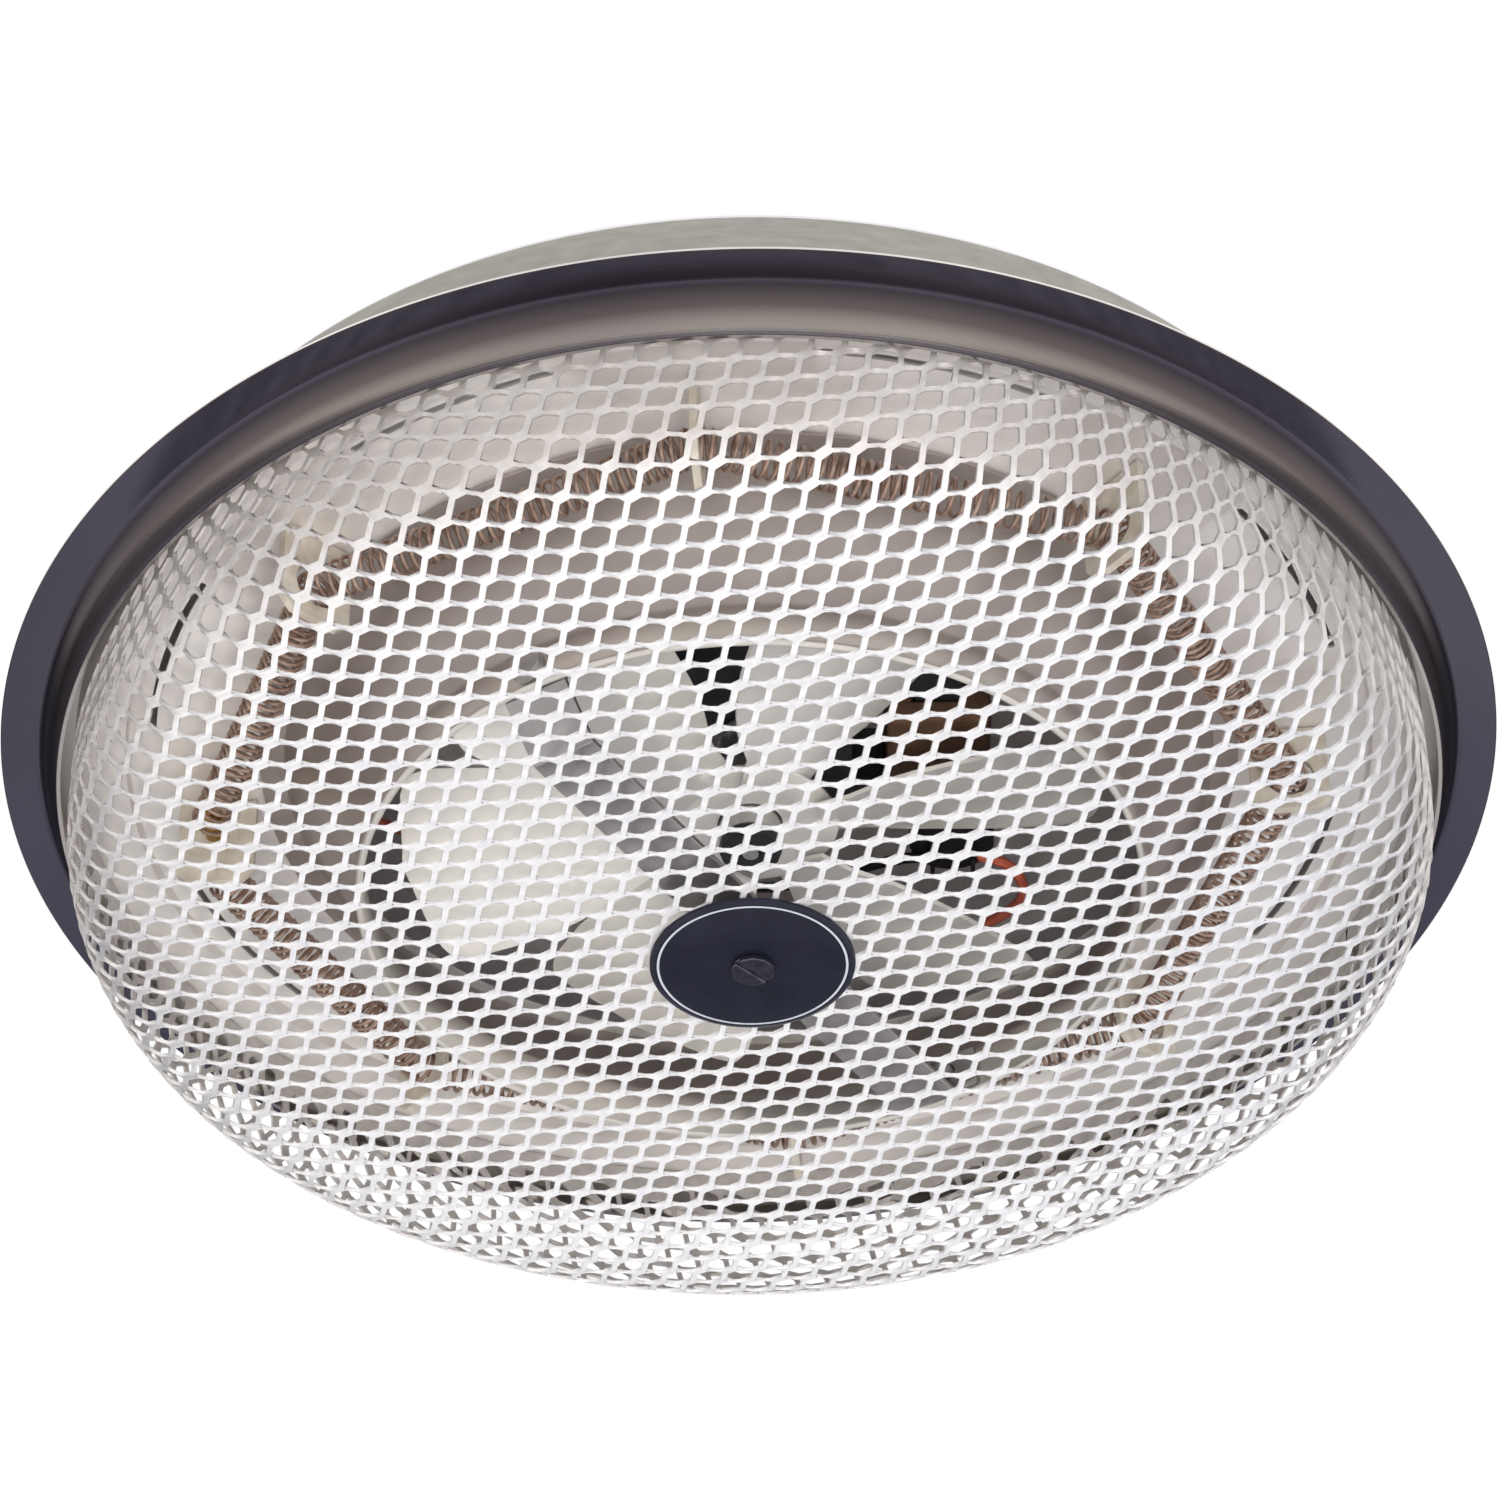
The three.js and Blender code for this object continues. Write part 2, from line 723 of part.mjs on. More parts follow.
// Motor brackets. The upper plate hangs from the can, the lower bar clamps the stack to it
const screwPlaces = [[-motorScrewOffset, motorScrewOffset], [motorScrewOffset, -motorScrewOffset]];
const motorScrewBore = motorScrewRadius + seatGap;
const shaftBore = (shaftRadius + runningGap) / Math.cos(Math.PI / boreSides);
const upperPlateFoot = underCeiling - bracketGauge;
const lowerBarTop = statorFoot - seatGap;
const lowerBarFoot = lowerBarTop - bracketGauge;
const lowerBearingFoot = lowerBarFoot - lowerBearing;

function throughMotor(radius, x, y) {
  return bar(radius, lowerBearingFoot - cutOverrun, cutOverrun).translate(x, y, 0);
}

const motorBores = screwPlaces.map(([x, y]) => throughMotor(motorScrewBore, x, y));
const upperBracket = cut(
  join(
    block(2 * upperPlateHalf, 2 * upperPlateHalf, upperPlateFoot, underCeiling),
    bar(bearingRadius, upperPlateFoot - upperBearing, underCeiling - bracketGauge / 2),
    ...screwPlaces.map(([x, y]) => {
      return bar(sleeveRadius, statorTop + seatGap, underCeiling - bracketGauge / 2).translate(x, y, 0);
    }),
  ),
  throughMotor(shaftBore, 0, 0),
  ...motorBores,
);
addPiece("motor_bracket_upper", upperBracket, zincSteel);

const lowerBracket = cut(
  join(
    block(lowerBarLength, lowerBarWidth, lowerBarFoot, lowerBarTop).rotateZ(-Math.PI / 4),
    bar(bearingRadius, lowerBearingFoot, lowerBarTop - bracketGauge / 2),
  ),
  throughMotor(shaftBore, 0, 0),
  ...motorBores,
);
addPiece("motor_bracket_lower", lowerBracket, zincSteel);

// Stator stack: a closed frame with the rotor's bore and the leg that carries the winding
const legLeft = statorRight - legWidth;
const statorShape = polygon([
  [-statorLeft, -statorHalfWidth],
  [statorRight, -statorHalfWidth],
  [statorRight, statorHalfWidth],
  [-statorLeft, statorHalfWidth],
]);
const stator = cut(
  plate(statorShape, statorFoot, statorTop),
  bar(rotorRadius + airGap, statorFoot - cutOverrun, statorTop + cutOverrun, roundSides),
  block(legLeft - windowLeft, 2 * windowHalf, statorFoot - cutOverrun, statorTop + cutOverrun)
    .translate((legLeft + windowLeft) / 2, 0, 0),
  ...motorBores,
);
addPiece("motor_stator", stator, laminations);

// Winding round the stator's leg
const windingHigh = statorTop + windingBuild;
const windingLow = statorFoot - windingBuild;
const winding = cut(
  block(legWidth + 2 * windingBuild, 2 * windingHalf, windingLow, windingHigh),
  block(legWidth + 2 * seatGap, 2 * windingHalf + cutOverrun, statorFoot - seatGap, statorTop + seatGap),
).translate(statorRight - legWidth / 2, 0, 0);
addPiece("motor_winding", winding, windingTape);

// Long screws through bracket, stack and sleeve
screwPlaces.forEach(([x, y], index) => {
  const headTop = lowerBarFoot - seatGap;
  const shankTop = underCeiling;
  const screw = screwGeometry(motorScrewHead, motorScrewHeadHeight, motorScrewRadius, headTop, shankTop);
  addPiece("motor_screw_" + (index + 1), screw, zincSteel).position.set(x, y, 0);
});

// What turns: shaft, rotor, hub, blades and the push-on retainer
const shaftTop = ceilingSkin - 2 * bracketGauge;
const shaftTip = rimLevel - shaftTipDrop;
addPiece("motor_shaft", bar(shaftRadius, shaftTip, shaftTop), zincSteel);
const rotorBore = shaftRadius + seatGap;
const rotor = tube(rotorRadius, rotorBore, statorFoot + looseGap, statorTop - looseGap, roundSides);
addPiece("motor_rotor", rotor, laminations);

const discTop = fanLevel + fanGauge / 2;
const hubTop = discTop + seatGap + hubFlange;
const hubBore = shaftRadius + seatGap;
addPiece("fan_hub", turned([
  [hubBore, hubTop - hubLength],
  [hubRadius, hubTop - hubLength],
  [hubRadius, discTop + seatGap],
  [hubFlangeRadius, discTop + seatGap],
  [hubFlangeRadius, hubTop],
  [hubBore, hubTop],
], roundSides), zincSteel);

// One paddle, drawn along +X: shares of the way from root to tip, of the tip's half width and of
// the root's
const bladeRootRadius = fanDiscRadius - bladeRootLap;
const paddleShares = [
  [0, 0, 1],
  [0.275, 0.45, 0.55],
  [0.825, 1, 0],
  [0.925, 0.94, 0],
  [0.98, 0.72, 0],
  [1, 0.3, 0],
];

function paddleGeometry() {
  const edge = paddleShares.map(([radial, tip, root]) => {
    const radius = THREE.MathUtils.lerp(bladeRootRadius, fanRadius, radial);
    return [radius, tip * bladeTipHalf + root * bladeRootHalf];
  });
  const other = edge.map(([x, y]) => [x, -y]).reverse();
  return plate(polygon([...other, ...edge].reverse()), -fanGauge / 2, fanGauge / 2).rotateX(fanPitch);
}

const blades = cut(
  join(
    bar(fanDiscRadius, -fanGauge / 2, fanGauge / 2, roundSides),
    ...Array.from({ length: fanBlades }, (_, index) => {
      return paddleGeometry().rotateZ(index * (2 * Math.PI / fanBlades));
    }),
  ),
  bar(hubRadius + seatGap, -bladeRootHalf, bladeRootHalf, roundSides),
);
const fan = addPiece("fan_blades", blades, bladeAluminium);
fan.position.z = fanLevel;
fan.rotation.z = fanTurn;

const retainerTop = hubTop - hubLength - seatGap;
const retainer = tube(hubRadius, hubBore, retainerTop - retainerLength, retainerTop);
addPiece("fan_retainer", retainer, blackPlastic);

// Crossbar between the shroud's walls, with tabs that lie against the throat
const throatClear = throatInner * Math.cos(Math.PI / shellSides) - seatGap;
const tabReach = Math.sqrt(throatClear ** 2 - (strapWidth / 2) ** 2) - strapGauge / 2;
const strapLine = [
  [-tabReach, rimLevel - strapTabTopDrop],
  [-tabReach, rimLevel - strapTabFootDrop],
  [-strapFlatHalf, strapLevel],
  [strapFlatHalf, strapLevel],
  [tabReach, rimLevel - strapTabFootDrop],
  [tabReach, rimLevel - strapTabTopDrop],
];
const strap = cut(
  bentStrip(strapLine, strapGauge, strapWidth).rotateZ(strapTurn),
  bar(grilleScrewRadius + seatGap, strapLevel - cutOverrun, strapLevel + cutOverrun),
  strapScrewHole(1),
  strapScrewHole(-1),
);
addPiece("grille_crossbar", strap, zincSteel);

// Screws through the throat's wall into the crossbar's tabs
[1, -1].forEach((side, index) => {
  const screw = screwGeometry(strapScrewHead, strapScrewHeadHeight, strapScrewRadius, 0, strapScrewLength)
    .rotateY(-side * Math.PI / 2)
    .translate(side * (mouthRadius + seatGap), 0, rimLevel - strapScrewDrop)
    .rotateZ(strapTurn);
  addPiece("crossbar_screw_" + (index + 1), screw, zincSteel);
});

// Square nut on the crossbar
const nutFoot = strapLevel + strapGauge / 2 + seatGap;
const nut = cut(
  block(2 * nutHalf, 2 * nutHalf, nutFoot, nutFoot + nutHeight).rotateZ(strapTurn),
  bar(grilleScrewRadius + seatGap, nutFoot - cutOverrun, nutFoot + nutHeight + cutOverrun),
);
addPiece("crossbar_nut", nut, zincSteel);

// The dome's outer surface along its section: crown, rounded corner, upright wall
const crownDrop = grillePoleDrop - grilleEdgeDrop;
const cornerCentre = grilleWallRadius - grilleCorner;
const cornerStart = Math.atan2(2 * crownDrop, cornerCentre);
const crownRadius = cornerCentre + grilleCorner * Math.sin(cornerStart);
const crownLength = Math.hypot(crownRadius, crownDrop);
const cornerLength = grilleCorner * (Math.PI / 2 - cornerStart);
const cornerLevel = rimLevel - grilleEdgeDrop + grilleCorner * Math.cos(cornerStart);
const hemLevel = panFlangeUnder - seatGap;
const domeLength = crownLength + cornerLength + (hemLevel - cornerLevel);

function domeAt(distance) {
  if (distance < crownLength) {
    const share = distance / crownLength;
    const slope = Math.atan2(2 * crownDrop * share, crownRadius);
    const level = rimLevel - grillePoleDrop + crownDrop * share ** 2;
    return { radius: crownRadius * share, level, lean: slope };
  }
  if (distance < crownLength + cornerLength) {
    const lean = cornerStart + (distance - crownLength) / grilleCorner;
    return {
      radius: cornerCentre + grilleCorner * Math.sin(lean),
      level: cornerLevel - grilleCorner * Math.cos(lean),
      lean,
    };
  }
  const level = cornerLevel + distance - crownLength - cornerLength;
  return { radius: grilleWallRadius, level, lean: Math.PI / 2 };
}

// Point of the dome above a point of the flat sheet, with its depth into the metal
function domePoint(flat, depth) {
  const { radius, level, lean } = domeAt(flat.length());
  const reach = radius - depth * Math.sin(lean);
  const turn = Math.atan2(flat.y, flat.x);
  return [reach * Math.cos(turn), reach * Math.sin(turn), level + depth * Math.cos(lean)];
}

// Expanded metal: a lattice of six-sided cells, each a ring of metal round its opening
function grilleGeometry() {
  const positions = [];
  const indices = [];
  const corners = new Map();
  const flats = [];
  const directed = new Map();
  const netRadius = domeLength - hemWidth;
  const cellSize = Math.min(cellAlong.length(), cellAcross.length());
  const diagonal = cellAlong.clone().add(cellAcross);
  const third = (a, b) => a.clone().add(b).divideScalar(3);
  const back = (a) => a.clone().negate();
  const hexagon = [
    third(cellAlong, diagonal),
    third(diagonal, cellAcross),
    third(cellAcross, back(cellAlong)),
    third(back(cellAlong), back(diagonal)),
    third(back(diagonal), back(cellAcross)),
    third(back(cellAcross), cellAlong),
  ];

  const addPoint = (flat) => {
    const index = flats.length;
    flats.push(flat);
    positions.push(...domePoint(flat, 0), ...domePoint(flat, meshThickness));
    return index;
  };
  const quad = (a, b, c, d) => indices.push(a, b, c, a, c, d);
  const outerOf = (index) => 2 * index;
  const innerOf = (index) => 2 * index + 1;

  const reach = 2 * Math.ceil(domeLength / cellSize);
  for (let i = -reach; i <= reach; i += 1) {
    for (let j = -reach; j <= reach; j += 1) {
      const centre = cellAlong.clone().multiplyScalar(i).addScaledVector(cellAcross, j);
      if (centre.length() > netRadius - edgeCellShare * cellSize) {
        continue;
      }
      const rim = hexagon.map((offset) => {
        const flat = centre.clone().add(offset);
        const key = Math.round(flat.x / cornerGrid) + "," + Math.round(flat.y / cornerGrid);
        if (!corners.has(key)) {
          corners.set(key, addPoint(flat.clampLength(0, netRadius)));
        }
        return corners.get(key);
      });
      const middle = new THREE.Vector2();
      rim.forEach((index) => middle.addScaledVector(flats[index], 1 / rim.length));
      const opening = rim.map((index, corner) => {
        return addPoint(middle.clone().lerp(flats[index], strandShares[corner]));
      });
      rim.forEach((a, corner) => {
        const next = (corner + 1) % rim.length;
        const b = rim[next];
        const c = opening[next];
        const d = opening[corner];
        directed.set(a + ">" + b, [a, b]);
        quad(outerOf(b), outerOf(a), outerOf(d), outerOf(c));
        quad(innerOf(a), innerOf(b), innerOf(c), innerOf(d));
        quad(outerOf(c), outerOf(d), innerOf(d), innerOf(c));
      });
    }
  }

  // The plain edge, from the outermost cells to the hem
  const onward = new Map();
  for (const [a, b] of directed.values()) {
    if (!directed.has(b + ">" + a)) {
      onward.set(a, b);
    }
  }
  const loop = [onward.keys().next().value];
  while (onward.get(loop[loop.length - 1]) !== loop[0]) {
    loop.push(onward.get(loop[loop.length - 1]));
  }
  let turns = loop.map((index) => Math.atan2(flats[index].y, flats[index].x));
  for (let index = 1; index < turns.length; index += 1) {
    while (turns[index] < turns[index - 1] - Math.PI) {
      turns[index] += 2 * Math.PI;
    }
    while (turns[index] > turns[index - 1] + Math.PI) {
      turns[index] -= 2 * Math.PI;
    }
  }
  const count = turns.length;
  for (let pass = 0; pass < anglePasses; pass += 1) {
    turns = turns.map((turn, index) => {
      const before = index === 0 ? turns[count - 1] - 2 * Math.PI : turns[index - 1];
      const after = index === count - 1 ? turns[0] + 2 * Math.PI : turns[index + 1];
      return (before + 2 * turn + after) / 4;
    });
  }
  const hem = turns.map((turn) => {
    return addPoint(new THREE.Vector2(Math.cos(turn), Math.sin(turn)).multiplyScalar(domeLength));
  });
  loop.forEach((a, index) => {
    const next = (index + 1) % count;
    const b = loop[next];
    const c = hem[next];
    const d = hem[index];
    quad(outerOf(a), outerOf(b), outerOf(c), outerOf(d));
    quad(innerOf(b), innerOf(a), innerOf(d), innerOf(c));
    quad(outerOf(d), outerOf(c), innerOf(c), innerOf(d));
  });

  const geometry = new THREE.BufferGeometry();
  geometry.setAttribute("position", new THREE.Float32BufferAttribute(positions, 3));
  geometry.setIndex(indices);
  geometry.computeVertexNormals();
  return geometry;
}
addPiece("grille_mesh", grilleGeometry(), expandedMetal);

// Badge below the mesh, backing disc above it, both round the screw
const poleLevel = rimLevel - grillePoleDrop;
const badgeTop = poleLevel - seatGap;
const badgeFoot = badgeTop - badgeGauge;
const screwBore = grilleScrewRadius + seatGap;
addPiece("badge_plate", turned([
  [screwBore, badgeFoot],
  [badgeRadius - badgeBevel, badgeFoot],
  [badgeRadius, badgeFoot + badgeBevel],
  [badgeRadius, badgeTop],
  [screwBore, badgeTop],
], badgeSides), badgeEnamel);

const backingFoot = poleLevel + meshThickness + seatGap;
const backing = tube(backingRadius, screwBore, backingFoot, backingFoot + backingGauge, roundSides);
addPiece("badge_backing", backing, zincSteel);

const grilleScrewTop = nutFoot + nutHeight;
const grilleScrewHeadTop = badgeFoot - seatGap;
const grilleScrewFoot = grilleScrewHeadTop - grilleScrewHeadHeight;
const slotLength = 2 * grilleScrewHead + cutOverrun;
const grilleScrew = cut(
  screwGeometry(grilleScrewHead, grilleScrewHeadHeight, grilleScrewRadius, grilleScrewHeadTop, grilleScrewTop),
  block(slotLength, screwSlotWidth, grilleScrewFoot - cutOverrun, grilleScrewFoot + screwSlotDepth)
    .rotateZ(Math.PI / 4),
);
addPiece("grille_screw", grilleScrew, badgeEnamel);

// Wiring cover: a tray with its open side against the can, and an ear for its screw
const coverFoot = underCeiling - coverDepth;
const coverX = entryX;
const leadLevel = (underCeiling + coverFoot) / 2;
const coverEarX = coverHalfX - coverEar;

function sideHole(x, y, axisTurn) {
  const radius = leadRadius + looseGap;
  return new THREE.CylinderGeometry(radius, radius, 2 * cutOverrun, boreSides)
    .rotateZ(axisTurn)
    .translate(x, y, leadLevel);
}

const coverHoles = [
  sideHole(-coverHalfX, 0, Math.PI / 2),
  sideHole(0, coverHalfY, 0),
  sideHole(-leadSpacing / 2, -coverHalfY, 0),
  sideHole(leadSpacing / 2, -coverHalfY, 0),
];
const wiringCover = cut(
  join(
    block(2 * coverHalfX, 2 * coverHalfY, coverFoot, underCeiling),
    block(coverEar, coverEar, underCeiling - coverGauge, underCeiling)
      .translate(coverEarX, coverHalfY + coverEar / 2 - coverGauge, 0),
  ),
  block(2 * (coverHalfX - coverGauge), 2 * (coverHalfY - coverGauge), coverFoot + coverGauge, cutOverrun),
  bar(coverScrewRadius + seatGap, underCeiling - cutOverrun, cutOverrun)
    .translate(coverEarX, coverHalfY + coverEar / 2, 0),
  ...coverHoles,
).translate(coverX, 0, 0);
addPiece("wiring_cover", wiringCover, zincSteel);

addPiece("wiring_cover_screw", screwGeometry(coverScrewHead, coverScrewHeadHeight, coverScrewRadius,
  underCeiling - coverGauge - seatGap, underCeiling), zincSteel)
  .position.set(coverX + coverEarX, coverHalfY + coverEar / 2, 0);

addPiece("ground_screw", screwGeometry(coverScrewHead, coverScrewHeadHeight, coverScrewRadius,
  underCeiling - coverGauge, underCeiling), groundGreen)
  .position.set(groundScrewX, groundScrewY, 0);

// Thermal cutout under its bracket
const cutoutTop = -cutoutBracketDrop - cutoutBracketGauge / 2 - seatGap;
const cutoutFoot = cutoutTop - cutoutHeight;
const cutoutBody = join(
  bar(cutoutRadius, cutoutFoot, cutoutTop, roundSides),
  ...[-1, 1].map((side) => {
    return block(cutoutTabGauge, cutoutTabWidth, cutoutFoot - cutoutTabHeight, cutoutFoot + cutoutTabGauge)
      .translate(side * cutoutTabSpacing / 2, 0, 0);
  }),
);
addPiece("thermal_cutout", cutoutBody, blackPlastic).position.set(cutoutX, cutoutY, 0);

const bracketTop = underCeiling - cutoutBracketGauge / 2;
addPiece("cutout_bracket", bentStrip([
  [-cutoutRadius, -cutoutBracketDrop],
  [cutoutRadius + cutoutBracketGauge, -cutoutBracketDrop],
  [cutoutRadius + cutoutBracketGauge, bracketTop],
  [cutoutRadius + cutoutBracketFoot, bracketTop],
], cutoutBracketGauge, cutoutBracketWidth), zincSteel).position.set(cutoutX, cutoutY, 0);

// Leads: round section along a smooth route
function leadGeometry(route, steps) {
  const points = route.map(([x, y, z]) => new THREE.Vector3(x, y, z));
  const extrudePath = new THREE.CatmullRomCurve3(points, false, "centripetal");
  const section = polygon(Array.from({ length: leadSides }, (_, side) => {
    const angle = 2 * Math.PI * (side / leadSides);
    return [leadRadius * Math.cos(angle), leadRadius * Math.sin(angle)];
  }));
  return new THREE.ExtrudeGeometry(section, { steps, extrudePath, bevelEnabled: false });
}

// Last points of a lead that goes straight down through the pan to its terminal
function downToTerminal(side) {
  const place = terminalPlace(side);
  const end = elementLevel + coilRadius + terminalRadius + seatGap;
  return [
    [place.x, place.y, panTop + leadStraight],
    [place.x, place.y, panUnder],
    [place.x, place.y, end],
  ];
}

const coverLeft = coverX - coverHalfX;
const whiteSteps = 14;
addPiece("lead_white", leadGeometry([
  [coverLeft + leadInside, 0, leadLevel],
  [coverLeft - leadInside, 0, leadLevel],
  ...whiteRoute,
  ...downToTerminal(1),
], whiteSteps), whiteSleeve);

// The live wire's two halves, one either side of the cutout
const tabReachOut = cutoutTabSpacing / 2 + cutoutTabGauge / 2 + seatGap;
const tabLead = cutoutFoot - cutoutTabHeight / 2;
const blackSteps = 20;
addPiece("lead_black", leadGeometry([
  [coverX, coverHalfY - leadInside, leadLevel],
  [coverX, coverHalfY + leadInside, leadLevel],
  ...blackRoute,
  [cutoutX - tabReachOut - leadStraight, cutoutY, tabLead],
  [cutoutX - tabReachOut, cutoutY, tabLead],
], blackSteps), blackSleeve);

const redSteps = 32;
addPiece("lead_red", leadGeometry([
  [cutoutX + tabReachOut, cutoutY, tabLead],
  [cutoutX + tabReachOut + leadStraight, cutoutY, tabLead],
  ...redRoute,
  ...downToTerminal(-1),
], redSteps), redSleeve);

// Two leads from the wiring cover to the winding
const motorSteps = 18;
[-1, 1].forEach((side, index) => {
  const startX = coverX + side * leadSpacing / 2;
  const endX = statorRight - legWidth / 2 - side * leadSpacing / 2;
  const way = motorRoutes[index];
  const endLevel = way[way.length - 1][2];
  addPiece("lead_motor_" + (index + 1), leadGeometry([
    [startX, leadInside - coverHalfY, leadLevel],
    [startX, -leadInside - coverHalfY, leadLevel],
    ...way,
    [endX, -statorHalfWidth - 2 * leadRadius, endLevel],
    [endX, -windingHalf - leadStraight, endLevel],
    [endX, -windingHalf - seatGap, endLevel],
  ], motorSteps), blueSleeve);
});

export default heater;
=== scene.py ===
"""A round bathroom ceiling heater, seen from below: satin can, polished trim ring, domed grille of
expanded metal with a badge, and behind it the heating coil, the fan shroud and the fan.
Sizes are in millimetres and are turned to metres where a mesh or a node takes them."""

import math

import bmesh
import bpy
import numpy as np
from mathutils import Matrix, Vector


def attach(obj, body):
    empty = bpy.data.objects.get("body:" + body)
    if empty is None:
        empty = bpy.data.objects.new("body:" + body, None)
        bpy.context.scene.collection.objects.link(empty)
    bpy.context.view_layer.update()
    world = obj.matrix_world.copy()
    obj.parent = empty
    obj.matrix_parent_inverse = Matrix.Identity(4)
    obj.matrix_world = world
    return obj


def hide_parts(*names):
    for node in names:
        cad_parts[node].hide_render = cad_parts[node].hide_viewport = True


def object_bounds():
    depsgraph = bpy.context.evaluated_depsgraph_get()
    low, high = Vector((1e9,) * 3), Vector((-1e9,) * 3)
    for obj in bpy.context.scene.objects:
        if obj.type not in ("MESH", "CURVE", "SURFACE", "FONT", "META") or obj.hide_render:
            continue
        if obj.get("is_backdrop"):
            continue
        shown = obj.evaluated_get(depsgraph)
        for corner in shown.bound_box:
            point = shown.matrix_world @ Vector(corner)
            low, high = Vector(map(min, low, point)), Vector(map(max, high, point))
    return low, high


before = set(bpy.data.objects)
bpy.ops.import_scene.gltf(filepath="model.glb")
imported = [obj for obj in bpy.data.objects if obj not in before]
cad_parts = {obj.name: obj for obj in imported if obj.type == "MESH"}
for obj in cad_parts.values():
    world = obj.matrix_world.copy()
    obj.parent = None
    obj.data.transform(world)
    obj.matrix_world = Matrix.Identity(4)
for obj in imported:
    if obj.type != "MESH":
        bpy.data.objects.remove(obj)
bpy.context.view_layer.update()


# Housing can: a shallow aluminium cup, drawn and spun, with a flange for the pan and the trim.
# Its top is flat against the ceiling. Two slots take the ceiling box's screws.
MM = 0.001
can_radius = 121.5
can_depth = 31.6
can_gauge = 0.8
can_corner = 5.0
can_flange = 140.0
flange_top = can_gauge - can_depth
flange_fillet = ((0, 1.2), (0.4, 0.35), (1.4, 0))
flange_round = 0.3
entry_x = -48.0
entry_radius = 11.0
ear_near, ear_far, ear_slot_half = 34.9, 44.45, 2.7


def arc(centre, radius, start, end, steps=8):
    """Points of a round stretch in an outline, from one angle to another."""
    angles = [start + (end - start) * step / steps for step in range(steps + 1)]
    return [
        (centre[0] + radius * math.cos(angle), centre[1] + radius * math.sin(angle))
        for angle in angles
    ]


def mesh_from(name, points_mm, faces):
    """A mesh in metres from points in millimetres."""
    mesh = bpy.data.meshes.new(name)
    mesh.from_pydata([[c * MM for c in p] for p in points_mm], [], faces)
    mesh.update()
    return mesh


def turned(name, outline, sides):
    """A closed outline of (radius, level) pairs, spun about the Z axis."""
    onward = outline[1:] + outline[:1]
    area = sum(a[0] * b[1] - b[0] * a[1] for a, b in zip(outline, onward))
    outline = outline if area > 0 else outline[::-1]
    points, rings = [], []
    for radius, level in outline:
        if radius == 0:
            rings.append([len(points)] * sides)
            points.append((0, 0, level))
            continue
        rings.append(list(range(len(points), len(points) + sides)))
        for side in range(sides):
            angle = 2 * math.pi * side / sides
            points.append((radius * math.cos(angle), radius * math.sin(angle), level))
    faces = []
    for low, high in zip(rings, rings[1:] + rings[:1]):
        for side in range(sides):
            after = (side + 1) % sides
            face = list(dict.fromkeys([low[side], low[after], high[after], high[side]]))
            if len(face) > 2:
                faces.append(face)
    return mesh_from(name, points, faces)


def post(radius, low, high, x=0.0, y=0.0, sides=24):
    """An upright round bar, as a cutter."""
    mesh = turned("post", [(0, low), (radius, low), (radius, high), (0, high)], sides)
    mesh.transform(Matrix.Translation((x * MM, y * MM, 0)))
    return mesh


def brick(x_low, x_high, y_low, y_high, z_low, z_high):
    """A square block, as a cutter."""
    points = [(x, y, z) for z in (z_low, z_high) for y in (y_low, y_high) for x in (x_low, x_high)]
    faces = [(0, 2, 3, 1), (4, 5, 7, 6), (0, 1, 5, 4), (2, 6, 7, 3), (0, 4, 6, 2), (1, 3, 7, 5)]
    return mesh_from("brick", points, faces)


def pierce(mesh, *cutters):
    """Cuts the cutters' shapes out of a mesh."""
    target = bpy.data.objects.new("pierced", mesh)
    bpy.context.scene.collection.objects.link(target)
    tools = []
    for cutter in cutters:
        tool = bpy.data.objects.new("cutter", cutter)
        bpy.context.scene.collection.objects.link(tool)
        tools.append(tool)
        cutting = target.modifiers.new("cut", "BOOLEAN")
        cutting.object = tool
        cutting.solver = "EXACT"
    bpy.context.view_layer.update()
    evaluated = target.evaluated_get(bpy.context.evaluated_depsgraph_get())
    result = bpy.data.meshes.new_from_object(evaluated)
    for spent in [target, *tools]:
        bpy.data.objects.remove(spent)
    return result


def show(name, mesh, material, body, *nodes, slot, at=(0, 0, 0), smooth=35):
    """Puts a mesh on its body in place of the CAD nodes that it stands for."""
    piece = bpy.data.objects.new(name, mesh)
    bpy.context.scene.collection.objects.link(piece)
    piece.location = [c * MM for c in at]
    mesh.materials.append(material)
    mesh.shade_smooth()
    mesh.set_sharp_from_angle(angle=math.radians(smooth))
    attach(piece, body)
    if nodes:
        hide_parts(*nodes)


def colour(code):
    """Linear RGBA from an sRGB hex code."""
    shares = [int(code[i : i + 2], 16) / 255 for i in (1, 3, 5)]
    linear = [s / 12.92 if s <= 0.04045 else ((s + 0.055) / 1.055) ** 2.4 for s in shares]
    return (*linear, 1)


def feed(node, inputs):
    """Sets a node's inputs to plain values, or links other nodes' outputs to them."""
    for socket, value in inputs.items():
        if isinstance(value, bpy.types.NodeSocket):
            node.id_data.links.new(value, node.inputs[socket])
        else:
            node.inputs[socket].default_value = value


def add(material, kind, inputs=None, **settings):
    """Adds one node to a material, with its settings and its inputs."""
    node = material.node_tree.nodes.new(kind)
    for name, value in settings.items():
        setattr(node, name, value)
    feed(node, inputs or {})
    return node


def surface(name, tint, roughness, metallic=0.0):
    """A material, its shader and the place on the object, in metres."""
    material = bpy.data.materials.new(name)
    material.use_nodes = True
    shader = material.node_tree.nodes["Principled BSDF"]
    feed(shader, {"Base Color": colour(tint), "Roughness": roughness, "Metallic": metallic})
    return material, shader, add(material, "ShaderNodeTexCoord").outputs["Object"]


